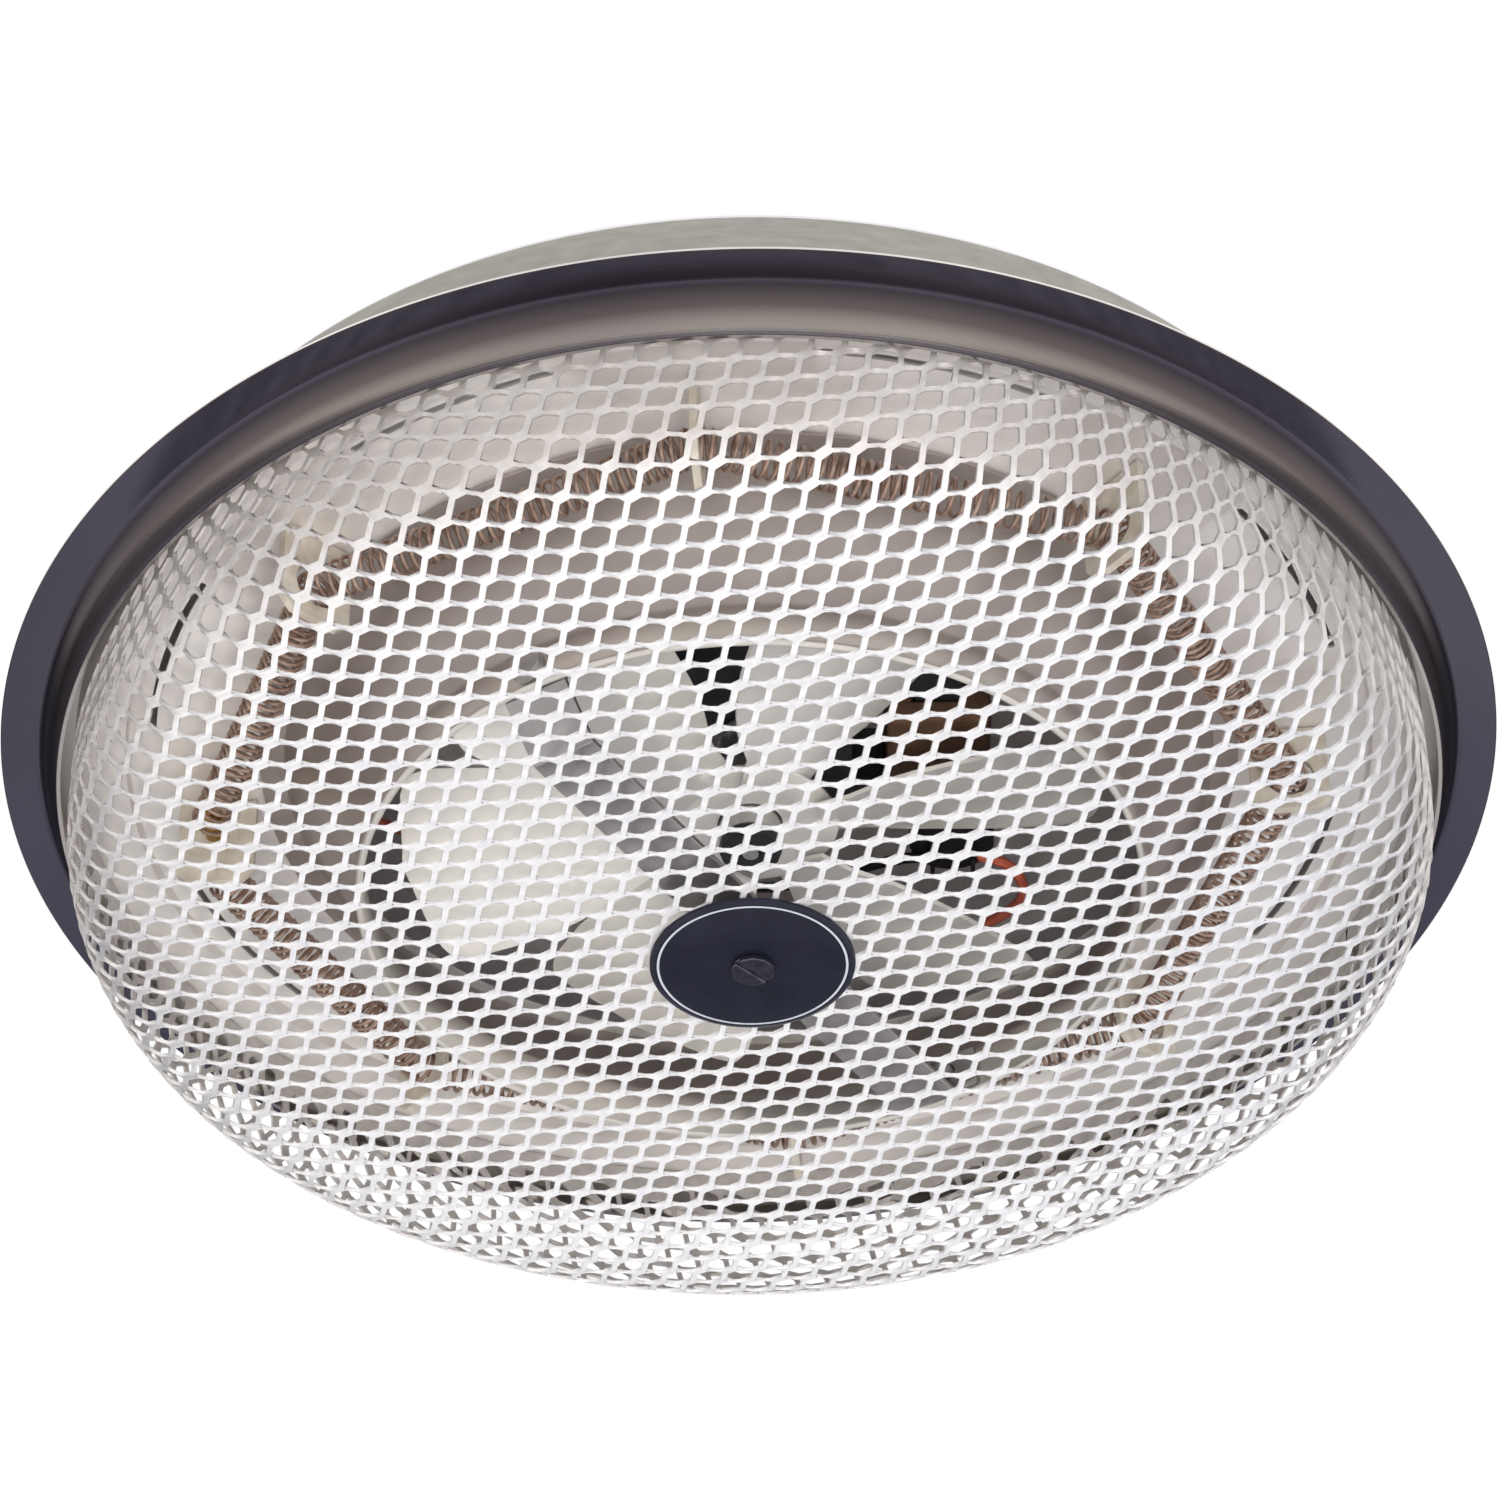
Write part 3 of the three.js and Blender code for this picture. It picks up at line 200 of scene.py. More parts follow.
def mottle(material, place, size_mm, low, high, detail=3.0, stretch=(1, 1, 1)):
    """A soft mix between two values or colours, in patches of the given size."""
    mapped = add(material, "ShaderNodeMapping", {"Vector": place, "Scale": stretch})
    patches = {"Vector": mapped.outputs[0], "Scale": 1000 / size_mm, "Detail": detail}
    noise = add(material, "ShaderNodeTexNoise", patches)
    ramp = add(material, "ShaderNodeValToRGB", {"Fac": noise.outputs["Fac"]})
    for stop, value, position in zip(ramp.color_ramp.elements, (low, high), (0.3, 0.7)):
        stop.color = colour(value) if isinstance(value, str) else (value, value, value, 1)
        stop.position = position
    return ramp.outputs["Color"]


def round_axis(material, place):
    """The distance from the heater's axis, and the level, of the place on the object."""
    spot = add(material, "ShaderNodeSeparateXYZ", {0: place})
    flat = add(material, "ShaderNodeCombineXYZ", {0: spot.outputs[0], 1: spot.outputs[1]})
    reach = add(material, "ShaderNodeVectorMath", {0: flat.outputs[0]}, operation="LENGTH")
    return reach.outputs["Value"], spot.outputs[2]


quarter = math.pi / 2
corner_middle = (can_radius - can_corner, -can_corner)
can_outline = [
    (0, 0),
    *arc(corner_middle, can_corner, quarter, 0),
    *[(can_radius + out, flange_top + up) for out, up in flange_fillet],
    (can_flange - flange_round, flange_top),
    (can_flange, flange_top - flange_round),
    (can_flange, -can_depth),
    (can_radius - can_gauge, -can_depth),
    *arc(corner_middle, can_corner - can_gauge, 0, quarter),
    (0, -can_gauge),
]
# How far the cutters reach past the sheet
overcut = 3
can_cutters = [post(entry_radius, -overcut, overcut, entry_x, 0, 48)]
for side in (-1, 1):
    low, high = sorted((side * ear_near, side * ear_far))
    can_cutters += [
        brick(-ear_slot_half, ear_slot_half, low, high, -overcut, overcut),
        post(ear_slot_half, -overcut, overcut, 0, low),
        post(ear_slot_half, -overcut, overcut, 0, high),
    ]
can_mesh = pierce(turned("housing_can_shell", can_outline, 192), *can_cutters)

# Spun aluminium, left as it comes off the tool: satin, warm grey, with faint rings round the wall
# and a few paler and darker patches where it was handled. The inside is painted lighter, painted
# light that makes up for the shade in the closed can, and so is the outer face of the rounded
# corner, which lies within the same limits.
satin, satin_shader, place = surface("spun_aluminium", "#b3aca3", 0.42, 0.75)
handled = mottle(satin, place, 5, "#a29e97", "#afaba4", 8.0, (1, 1, 3))
reach, level = round_axis(satin, place)
# The sockets at which a Mix node has its share, its two colours and its result
share_in, first_in, second_in, mixed_out = 0, 6, 7, 2
wall_middle = (can_radius - can_gauge / 2) * MM
top_middle = -can_gauge / 2 * MM
# Painted light: these masks find the can's inside, which is given a lighter colour.
within = add(satin, "ShaderNodeMath", {0: reach, 1: wall_middle}, operation="LESS_THAN")
beneath = add(satin, "ShaderNodeMath", {0: level, 1: top_middle}, operation="LESS_THAN")
inside = add(
    satin, "ShaderNodeMath", {0: within.outputs[0], 1: beneath.outputs[0]}, operation="MULTIPLY"
)
tint = add(
    satin,
    "ShaderNodeMix",
    {share_in: inside.outputs[0], first_in: handled, second_in: colour("#f2eff0")},
    data_type="RGBA",
)
rings = mottle(satin, place, 12, 0.36, 0.5, 4.0, (0.4, 0.4, 18))
grain = mottle(satin, place, 3, 0.0, 1.0, 3.0, (0.3, 0.3, 10))
relief = add(satin, "ShaderNodeBump", {"Height": grain, "Distance": 0.02 * MM})
feed(
    satin_shader,
    {"Base Color": tint.outputs[mixed_out], "Roughness": rings, "Normal": relief.outputs[0]},
)
show("housing_can_shell", can_mesh, satin, "heater", "housing_can", slot="housing_satin")


# Trim ring: one spun aluminium ring, spot-welded under the can's flange. Its flat rim has a
# rounded edge, and its collar curves down to a lip round the grille.
rim_level = -33.5
trim_gauge = 0.7
trim_radius = 143.0
collar_radius = 136.6
lip_radius = 131.8
collar_depth = 9.6
lip_round = 0.15
trim_top = rim_level + trim_gauge
upper_edge = ((-0.2, 0), (-0.04, -0.06), (0, -0.16))
lower_edge = ((0, 0.14), (-0.14, 0))


def trim_outline():
    """The rim's edge, the collar's outside as a quarter of an ellipse, the lip and the inside."""
    outer, inner = [], []
    steps = 20
    collar_width = collar_radius - lip_radius
    for step in range(steps + 1):
        lean = quarter * step / steps
        radius = collar_radius - collar_width * math.sin(lean)
        level = rim_level - collar_depth * (1 - math.cos(lean))
        across, along = collar_depth * math.sin(lean), collar_width * math.cos(lean)
        length = math.hypot(across, along)
        outer.append((radius, level))
        inner.append((radius - trim_gauge * across / length, level + trim_gauge * along / length))
    lip = [(lip_radius - lip_round, outer[-1][1]), (inner[-1][0] + lip_round, inner[-1][1])]
    edge = [(trim_radius + out, trim_top + up) for out, up in upper_edge]
    edge += [(trim_radius + out, rim_level + up) for out, up in lower_edge]
    return edge + outer + lip + inner[::-1]


def blend_by_level(material, level, start, end, first, second):
    """A colour that goes over into another one between two levels, in millimetres."""
    between = {"Value": level, "From Min": start * MM, "From Max": end * MM}
    share = add(material, "ShaderNodeMapRange", between)
    colours = {share_in: share.outputs[0], first_in: first, second_in: second}
    return add(material, "ShaderNodeMix", colours, data_type="RGBA").outputs[mixed_out]


# Polished aluminium with fine marks that run round it from the lathe. Its colour is painted
# reflection, set by which way the metal faces: a dark mirror on the flat rim, which faces the dark
# room below, paler round the collar the more it is turned away, up to a light lip, and near white
# on the rim's upright edge. The lip's underside is painted pale, a painted highlight. A thin
# tarnish lies on it in broad patches. The marks are drawn 0.5 mm apart.
polished, polished_shader, place = surface("polished_aluminium", "#b7aca4", 0.24, 1.0)
faced = add(polished, "ShaderNodeTexCoord")
facing = add(polished, "ShaderNodeSeparateXYZ", {0: faced.outputs["Normal"]})
down = add(polished, "ShaderNodeMath", {0: facing.outputs[2], 1: -1.0}, operation="MULTIPLY")
# Painted reflection: a colour ramp by how far the metal faces down, dark where flat, pale where
# upright.
ramp = add(polished, "ShaderNodeValToRGB", {"Fac": down.outputs[0]})
stops = ramp.color_ramp.elements
stops[0].color = colour("#fffaf2")
stops[1].color = colour("#5b5866")
for position, shade in ((0.1, "#b5aaa2"), (0.4, "#6d6462"), (0.85, "#48434a")):
    stops.new(position).color = colour(shade)
reach, level = round_axis(polished, place)
# Painted highlight: the lip's underside is blended to a pale colour.
lip_start, lip_end = rim_level - 8.4, rim_level - 9.4
painted_reflection_tone = blend_by_level(
    polished, level, lip_start, lip_end, ramp.outputs["Color"], colour("#c4bdba")
)
tarnish = mottle(polished, place, 110, "#dddbe0", "#ffffff", 2.0, (1, 1, 0))
tint = add(
    polished,
    "ShaderNodeMix",
    {share_in: 1.0, first_in: painted_reflection_tone, second_in: tarnish},
    data_type="RGBA",
    blend_type="MULTIPLY",
)
round_z = add(polished, "ShaderNodeTangent", direction_type="RADIAL", axis="Z")
fall = add(polished, "ShaderNodeMath", {0: reach, 1: level}, operation="SUBTRACT")
mark_spacing = 0.5
lathed = {"W": fall.outputs[0], "Scale": 1000 / mark_spacing, "Detail": 2.0}
marks = add(polished, "ShaderNodeTexNoise", lathed, noise_dimensions="1D")
shine = add(
    polished,
    "ShaderNodeMapRange",
    {"Value": marks.outputs["Fac"], "To Min": 0.14, "To Max": 0.24},
)
relief = add(
    polished, "ShaderNodeBump", {"Height": marks.outputs["Fac"], "Distance": 0.006 * MM}
)
feed(
    polished_shader,
    {
        "Base Color": tint.outputs[mixed_out],
        "Roughness": shine.outputs[0],
        "Anisotropic": 0.8,
        "Tangent": round_z.outputs[0],
        "Normal": relief.outputs[0],
    },
)
trim_mesh = turned("trim_ring_spun", trim_outline(), 288)
show("trim_ring_spun", trim_mesh, polished, "heater", "trim_ring", slot="trim_polished")


# Reflector pan: pressed aluminium sheet above the coil. It throws the heat down, and its slots
# let air through from the can. Its flange is clamped between can and trim, and its skirt clears
# the solid can, whose round wall is turned with 44 flat sides.
seat_gap = 0.3
pan_gauge = 0.6
pan_under = rim_level + 4
pan_top = pan_under + pan_gauge
pan_hole = 86.0
pan_round = 1.6
pan_round_middle = 0.5
pan_flange_under = trim_top + seat_gap
pan_flange_top = pan_flange_under + pan_gauge
can_sides = 44
skirt = (can_radius - can_gauge) * math.cos(math.pi / can_sides) - seat_gap
skirt_inside = skirt - pan_gauge
slot_inner, slot_outer, slot_spread = 113.8, 115.2, math.radians(22)
element_turn = math.radians(175.4)
element_radius = 103.0
corners = 8
corner_angle = 2 * math.pi / corners
plate_half = 0.75
terminal_length = 6.0
terminal_hole = 2.4


def slot_cutter(middle, inner, outer, spread, low, high):
    """A slot bent round the axis, with round ends, as a cutter."""
    half = (outer - inner) / 2
    centre = (outer + inner) / 2
    reach = spread / 2 - math.asin(half / centre)
    first, last = middle - reach, middle + reach
    first_end = (centre * math.cos(first), centre * math.sin(first))
    last_end = (centre * math.cos(last), centre * math.sin(last))
    outline = [
        *arc((0, 0), outer, first, last, 12),
        *arc(last_end, half, last, last + math.pi)[1:-1],
        *arc((0, 0), inner, last, first, 12),
        *arc(first_end, half, first + math.pi, first + 2 * math.pi)[1:-1],
    ]
    total = len(outline)
    faces = [list(range(total))[::-1], [total + i for i in range(total)]]
    faces += [(i, (i + 1) % total, total + (i + 1) % total, total + i) for i in range(total)]
    return mesh_from("slot", [(x, y, level) for level in (low, high) for x, y in outline], faces)


def corner_place(index):
    """A corner of the eight-sided ring on which the coil runs."""
    angle = element_turn + index * corner_angle
    return Vector((math.cos(angle), math.sin(angle))) * element_radius


beside = Vector((-math.sin(element_turn), math.cos(element_turn)))
terminal_reach = plate_half + seat_gap + terminal_length / 2
pan_outline = [
    (pan_hole, pan_under),
    (skirt_inside - pan_round, pan_under),
    (skirt_inside - pan_round_middle, pan_under - pan_round_middle),
    (skirt_inside, pan_under - pan_round),
    (skirt_inside, pan_flange_under),
    (can_flange, pan_flange_under),
    (can_flange, pan_flange_top),
    (skirt, pan_flange_top),
    (skirt, pan_top - pan_round),
    (skirt - pan_round_middle, pan_top - pan_round_middle),
    (skirt - pan_round, pan_top),
    (pan_hole, pan_top),
]
cut_low, cut_high = pan_under - overcut, pan_top + overcut
pan_cutters = []
for index in range(corners):
    middle = element_turn + (index + 0.5) * corner_angle
    pan_cutters.append(
        slot_cutter(middle, slot_inner, slot_outer, slot_spread, cut_low, cut_high)
    )
for side in (1, -1):
    spot = corner_place(0) + beside * side * terminal_reach
    pan_cutters.append(post(terminal_hole, cut_low, cut_high, spot.x, spot.y))
pan_mesh = pierce(turned("reflector_pan_pressed", pan_outline, 176), *pan_cutters)

# Bright aluminium sheet that has dulled with heat: soft reflections, browner in patches.
bright, bright_shader, place = surface("bright_sheet", "#f0ecea", 0.4, 0.4)
tint = mottle(bright, place, 26, "#e8e3e1", "#f7f4f2")
shine = mottle(bright, place, 9, 0.28, 0.44, 4.0)
grain = mottle(bright, place, 1.4, 0.0, 1.0, 2.0, (1, 12, 1))
relief = add(bright, "ShaderNodeBump", {"Height": grain, "Distance": 0.008 * MM})
feed(bright_shader, {"Base Color": tint, "Roughness": shine, "Normal": relief.outputs[0]})
show("reflector_pan_pressed", pan_mesh, bright, "heater", "reflector_pan", slot="reflector")


# Fan shroud: a cone of bright aluminium that narrows to a short throat with a rolled mouth.
# Three rivets hold its flange to the pan, and the strap's screws pass through its throat.
shroud_gauge = 0.7
shroud_base = 88.0
shroud_flange = 94.0
shroud_top = pan_under - seat_gap
shroud_under = shroud_top - shroud_gauge
mouth_radius = 74.0
mouth_level = rim_level - 30
mouth_roll = 0.7
roll_top = mouth_level + 2 * mouth_roll
throat_top = mouth_level + 10
throat_end = throat_top - 1
throat_inner = mouth_radius - shroud_gauge
cone_start = throat_top + 0.4
cone_step = 0.35
foot_round = 0.6
foot_drop = 0.9
shroud_outline = [
    *arc((mouth_radius, mouth_level + mouth_roll), mouth_roll, math.pi, 2 * math.pi),
    (mouth_radius + 0.1, roll_top),
    (mouth_radius, roll_top + 0.6 * mouth_roll),
    (mouth_radius, throat_end),
    (mouth_radius + cone_step, cone_start),
    (shroud_base + shroud_gauge - foot_round, shroud_under - foot_drop),
    (shroud_base + shroud_gauge + foot_round, shroud_under),
    (shroud_flange, shroud_under),
    (shroud_flange, shroud_top),
    (shroud_base, shroud_top),
    (throat_inner + cone_step, cone_start),
    (throat_inner, throat_end),
]
strap_turn = math.radians(58)
strap_screw_level = rim_level - 25
strap_screw_hole = 2.0
strap_cut = 7


def strap_hole(side):
    """A bar through the throat where one of the strap's two screws passes, as a cutter."""
    mesh = post(strap_screw_hole, -strap_cut, strap_cut)
    mesh.transform(Matrix.Rotation(quarter, 4, "Y"))
    mesh.transform(Matrix.Translation((side * mouth_radius * MM, 0, strap_screw_level * MM)))
    mesh.transform(Matrix.Rotation(strap_turn, 4, "Z"))
    return mesh


shroud_solid = turned("fan_shroud_spun", shroud_outline, 176)
shroud_mesh = pierce(shroud_solid, strap_hole(1), strap_hole(-1))

# The same kind of sheet, spun: greyer, with a soft shine, and a painted highlight that turns it
# near white up the throat and round the rolled mouth.
spun_sheet, spun_shader, place = surface("spun_bright_sheet", "#a29892", 0.34, 0.75)
cone_tone = mottle(spun_sheet, place, 20, "#aaa09c", "#c2b9b5")
level = add(spun_sheet, "ShaderNodeSeparateXYZ", {0: place}).outputs[2]
# Painted highlight: below these levels the throat and mouth are blended to near white.
painted_highlight_start, painted_highlight_end = mouth_level + 9, mouth_level + 3
tint = blend_by_level(
    spun_sheet, level, painted_highlight_start, painted_highlight_end, cone_tone, colour("#f4f0ea")
)
grain = mottle(spun_sheet, place, 2, 0.0, 1.0, 2.0, (0.3, 0.3, 8))
relief = add(spun_sheet, "ShaderNodeBump", {"Height": grain, "Distance": 0.006 * MM})
feed(spun_shader, {"Base Color": tint, "Normal": relief.outputs[0]})
show("fan_shroud_spun", shroud_mesh, spun_sheet, "heater", "fan_shroud", slot="reflector")


# Shroud rivets: three round heads of zinc-plated steel under the shroud's flange. The plating is
# bluish grey, with a faint pattern of crystals a millimetre or two across.
rivet_reach = (shroud_flange + shroud_base + shroud_gauge) / 2
rivet_top = shroud_under - seat_gap
rivet_radius = 2.5
rivet_height = 1.0
rivet_outline = [(0, rivet_top)]
for step in range(9):
    lean = quarter * step / 8
    rivet_outline.append(
        (rivet_radius * math.cos(lean), rivet_top - rivet_height * math.sin(lean))
    )

zinc, zinc_shader, place = surface("zinc_plated_steel", "#c3c3c3", 0.32, 0.85)
tint = mottle(zinc, place, 4, "#b3b3b5", "#d0cfcd", 5.0)
crystal_size = 1.6
cells = add(zinc, "ShaderNodeTexVoronoi", {"Vector": place, "Scale": 1000 / crystal_size})
crystals = cells.outputs["Distance"]
shine = add(zinc, "ShaderNodeMapRange", {"Value": crystals, "To Min": 0.26, "To Max": 0.44})
relief = add(zinc, "ShaderNodeBump", {"Height": crystals, "Distance": 0.01 * MM})
feed(
    zinc_shader,
    {"Base Color": tint, "Roughness": shine.outputs[0], "Normal": relief.outputs[0]},
)
for index in range(3):
    angle = element_turn + corner_angle / 2 + index * 2 * math.pi / 3
    show(
        f"shroud_rivet_head_{index + 1}",
        turned("rivet", rivet_outline, 32),
        zinc,
        "heater",
        f"shroud_rivet_{index + 1}",
        slot="zinc_steel",
        at=(rivet_reach * math.cos(angle), rivet_reach * math.sin(angle), 0),
    )


# Insulators: plates cut from mica board, riveted under the pan with their edge down. The coil
# passes through a hole in each. Mica board is pale brown and flaky, with a slight pearly gloss.
def dress(node, material, edge_mm=0.2):
    """Gives a CAD node its material, joins its faces and rounds its edges a little."""
    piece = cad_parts[node]
    mesh = piece.data
    mesh.materials.clear()
    mesh.materials.append(material)
    if "custom_normal" in mesh.attributes:
        mesh.attributes.remove(mesh.attributes["custom_normal"])
    mesh.shade_smooth()
    weld = piece.modifiers.new("weld", "WELD")
    weld.merge_threshold = 1e-6
    edge = piece.modifiers.new("edge", "BEVEL")
    edge.width = edge_mm * MM
    edge.segments = 2
    edge.limit_method = "ANGLE"
    edge.angle_limit = math.radians(35)
    edge.harden_normals = True
    return piece


mica, mica_shader, place = surface("mica_board", "#cfc7b9", 0.55)
tint = mottle(mica, place, 5, "#bfb5a5", "#ded8cc", 6.0)
flake_size = 1.2
flakes = add(mica, "ShaderNodeTexVoronoi", {"Vector": place, "Scale": 1000 / flake_size})
relief = add(
    mica, "ShaderNodeBump", {"Height": flakes.outputs["Distance"], "Distance": 0.05 * MM}
)
feed(mica_shader, {"Base Color": tint, "Normal": relief.outputs[0]})
for node in ["terminal_plate"] + [f"insulator_{index}" for index in range(1, corners)]:
    dress(node, mica)


# Heating coil: resistance wire of nickel and chrome, wound close and stretched round the ring.
# It runs from one terminal to the other through the insulators' holes.
coil_radius = 3.5
wire_radius = 0.42
wire_sides = 6
turn_pitch = 2.0
steps_per_turn = 14
element_level = rim_level - 8
wire_start = plate_half + 2 * seat_gap + terminal_length
wire_lead = 1.2
corner_blend = 7.0
coil_ends = [corner_place(0) + beside * side * (wire_start + wire_lead) for side in (1, -1)]
coil_nodes = [coil_ends[0], *[corner_place(index) for index in range(1, corners)], coil_ends[1]]
coil_runs = [(b - a).length for a, b in zip(coil_nodes, coil_nodes[1:])]


def swept(name, points, radius, sides):
    """A round wire along points."""
    points = np.array(points, float)
    along = np.gradient(points, axis=0)
    along /= np.linalg.norm(along, axis=1)[:, None]
    across = np.zeros_like(points)
    guide = np.array([0.0, 0.0, 1.0])
    for index, way in enumerate(along):
        guide = guide - way * (guide @ way)
        guide /= np.linalg.norm(guide)
        across[index] = guide
    third = np.cross(along, across)
    angles = 2 * np.pi * np.arange(sides) / sides
    rings = (
        points[:, None, :]
        + radius * np.cos(angles)[None, :, None] * across[:, None, :]
        + radius * np.sin(angles)[None, :, None] * third[:, None, :]
    )
    last = (len(points) - 1) * sides
    faces = []
    for ring in range(0, last, sides):
        for side in range(sides):
            a, b = ring + side, ring + (side + 1) % sides
            faces.append((a, b, b + sides, a + sides))
    faces.append(tuple(range(sides))[::-1])
    faces.append(tuple(range(last, last + sides)))
    return mesh_from(name, rings.reshape(-1, 3), faces)


def square_to(run):
    """The direction, in plan, that points out of the ring square to one of its runs."""
    way = coil_nodes[run + 1] - coil_nodes[run]
    return math.atan2(-way.x, way.y)


def half_bend(run, other):
    """Half of the turn from one run's direction to another's, the short way round."""
    turn = square_to(other) - square_to(run)
    return (turn - 2 * math.pi * round(turn / (2 * math.pi))) / 2


def eased(share):
    """A share from 0 to 1 that starts and ends gently."""
    share = min(max(share, 0.0), 1.0)
    return share * share * (3 - 2 * share)


def coil_axis(distance):
    """A point on the coil's axis, and the direction square to the axis there."""
    run = 0
    while run < len(coil_runs) - 1 and distance > coil_runs[run]:
        distance -= coil_runs[run]
        run += 1
    angle = square_to(run)
    left = coil_runs[run] - distance
    if run > 0:
        angle += half_bend(run, run - 1) * eased(1 - distance / corner_blend)
    if run < len(coil_runs) - 1:
        angle += half_bend(run, run + 1) * eased(1 - left / corner_blend)
    return coil_nodes[run].lerp(coil_nodes[run + 1], distance / coil_runs[run]), angle


def coil_points():
    """The wire's path: a lead at each end, and the turns round the axis in between."""
    length = sum(coil_runs)
    total = round(length / turn_pitch) * steps_per_turn
    first = corner_place(0) + beside * wire_start
    last = corner_place(0) - beside * wire_start
    points = [(first.x, first.y, element_level + coil_radius)]
    for step in range(total + 1):
        share = step / total
        # Stretched by hand, so the turns stand a little closer together in some stretches
        drift = 2.6 * math.sin(37 * share) + 1.3 * math.sin(91 * share + 1)
        distance = min(max(length * share + drift * math.sin(math.pi * share), 0), length)
        point, angle = coil_axis(distance)
        phase = quarter + 2 * math.pi * step / steps_per_turn
        out = coil_radius * math.cos(phase)
        rise = coil_radius * math.sin(phase)
        points.append(
            (
                point.x + math.cos(angle) * out,
                point.y + math.sin(angle) * out,
                element_level + rise,
            )
        )
    points.append((last.x, last.y, element_level + coil_radius))
    return points


# Heat has turned the wire dark brown; painted tan glints lie on it in random patches 3 mm across.
nichrome, nichrome_shader, place = surface("oxidised_nichrome", "#a98d7e", 0.3, 0.6)
feed(nichrome_shader, {"Base Color": mottle(nichrome, place, 3, "#84685b", "#cbb1a2", 4.0)})
coil_mesh = swept("element_coil_wound", coil_points(), wire_radius, wire_sides)
show(
    "element_coil_wound",
    coil_mesh,
    nichrome,
    "heater",
    "element_coil",
    slot="nichrome",
    smooth=80,
)


# Element terminals: turned brass studs, one on either face of the thick plate, where the coil
# ends. The brass is a warm yellow, dulled by heat.
brass, brass_shader, place = surface("dulled_brass", "#b08d4c", 0.32, 1.0)
feed(brass_shader, {"Base Color": mottle(brass, place, 3, "#8f6d38", "#c6a663", 4.0)})
for index in (1, 2):
    dress(f"element_terminal_{index}", brass, 0.25)


# Motor: a stack of steel laminations with a rotor in it, a taped winding on one leg, and two
# plated brackets held by long screws. The shaft stands on the heater's axis.
for node in (
    "motor_bracket_upper",
    "motor_bracket_lower",
    "motor_screw_1",
    "motor_screw_2",
    "motor_shaft",
):
    dress(node, zinc)

# Punched steel sheet, stacked: dark grey with lines 0.5 mm apart. A Wave texture draws a little
# over three bands to each unit of its scale, and pi stands for that here.
lamination = 0.5
laminated, laminated_shader, place = surface("laminated_steel", "#5d6065", 0.45, 0.8)
lines = add(
    laminated,
    "ShaderNodeTexWave",
    {"Vector": place, "Scale": 1000 / lamination / math.pi, "Distortion": 0.4},
    bands_direction="Z",
)
tint = add(
    laminated,
    "ShaderNodeMix",
    {
        share_in: lines.outputs["Fac"],
        first_in: colour("#3e4146"),
        second_in: colour("#70747a"),
    },
    data_type="RGBA",
)
relief = add(
    laminated, "ShaderNodeBump", {"Height": lines.outputs["Fac"], "Distance": 0.04 * MM}
)
feed(laminated_shader, {"Base Color": tint.outputs[mixed_out], "Normal": relief.outputs[0]})
for node in ("motor_stator", "motor_rotor"):
    dress(node, laminated)

# Varnished cotton tape round the winding: amber brown, a plain weave of 0.6 mm threads. A wave
# texture of scale 1 has a little over three bands to the metre.
thread, bands = 0.6, 3.14
tape, tape_shader, place = surface("varnished_tape", "#6a5040", 0.42)
threads = {"Vector": place, "Scale": 1000 / thread / bands, "Distortion": 1.0}
warp = add(tape, "ShaderNodeTexWave", threads, bands_direction="Y")
weft = add(tape, "ShaderNodeTexWave", threads, bands_direction="Z")
crossed = {0: warp.outputs["Fac"], 1: weft.outputs["Fac"]}
weave = add(tape, "ShaderNodeMath", crossed, operation="MULTIPLY")
tint = mottle(tape, place, 6, "#5d4537", "#7d6150")
relief = add(tape, "ShaderNodeBump", {"Height": weave.outputs[0], "Distance": 0.08 * MM})
feed(tape_shader, {"Base Color": tint, "Normal": relief.outputs[0]})
dress("motor_winding", tape, 1.2)


# Wiring: a bushing snapped into the can's top, a plated cover with its screw, a snap-disc cutout
# on a bracket, a green ground screw, and copper leads in coloured sleeves.
for node in ("wiring_cover", "wiring_cover_screw", "cutout_bracket"):
    dress(node, zinc)

# Moulded black plastic is dull, with a fine spark-eroded grain of 0.3 mm.
moulded, moulded_shader, place = surface("moulded_black_plastic", "#202024", 0.5)
grain = mottle(moulded, place, 0.3, 0.0, 1.0, 2.0)
relief = add(moulded, "ShaderNodeBump", {"Height": grain, "Distance": 0.02 * MM})
feed(moulded_shader, {"Normal": relief.outputs[0]})
for node in ("wiring_bushing", "thermal_cutout"):
    dress(node, moulded, 0.3)

# Zinc plating passivated green: a thin clear green over the metal.
green, green_shader, place = surface("passivated_green", "#3f6b45", 0.4, 0.5)
feed(green_shader, {"Base Color": mottle(green, place, 2, "#375f3d", "#4c7a50")})
dress("ground_screw", green)

# Extruded sleeves of soft plastic: smooth, with a low gloss, a little uneven in colour.
sleeves = {
    "lead_white": ("white_sleeve", "#d8d5cc", "#c9c5ba"),
    "lead_black": ("black_sleeve", "#232326", "#18181b"),
    "lead_red": ("red_sleeve", "#d0705c", "#b5543f"),
    "lead_motor_1": ("blue_sleeve", "#34466f", "#2a3858"),
    "lead_motor_2": ("blue_sleeve_2", "#34466f", "#2a3858"),
}
for node, (name, pale, dark) in sleeves.items():
    sleeve, sleeve_shader, place = surface(name, pale, 0.45)
    feed(sleeve_shader, {"Base Color": mottle(sleeve, place, 6, dark, pale)})
    lead = dress(node, sleeve)
    lead.modifiers.remove(lead.modifiers["edge"])
    rounding = lead.modifiers.new("round", "SUBSURF")
    rounding.levels = 2
    rounding.render_levels = 2


# Crossbar: a steel strap bent across the shroud's mouth, with a screw at each end and a nut in
# its middle that takes the grille's screw. It is nickel-plated: a dark mirror between two edges
# that catch the light.
nickel, nickel_shader, place = surface("nickel_plated_steel", "#b7b2b3", 0.28, 0.85)
feed(nickel_shader, {"Base Color": mottle(nickel, place, 9, "#aaa5a6", "#c4c0c1", 4.0)})
dress("grille_crossbar", nickel, 0.35)
for node in ("crossbar_screw_1", "crossbar_screw_2", "crossbar_nut"):
    dress(node, zinc)


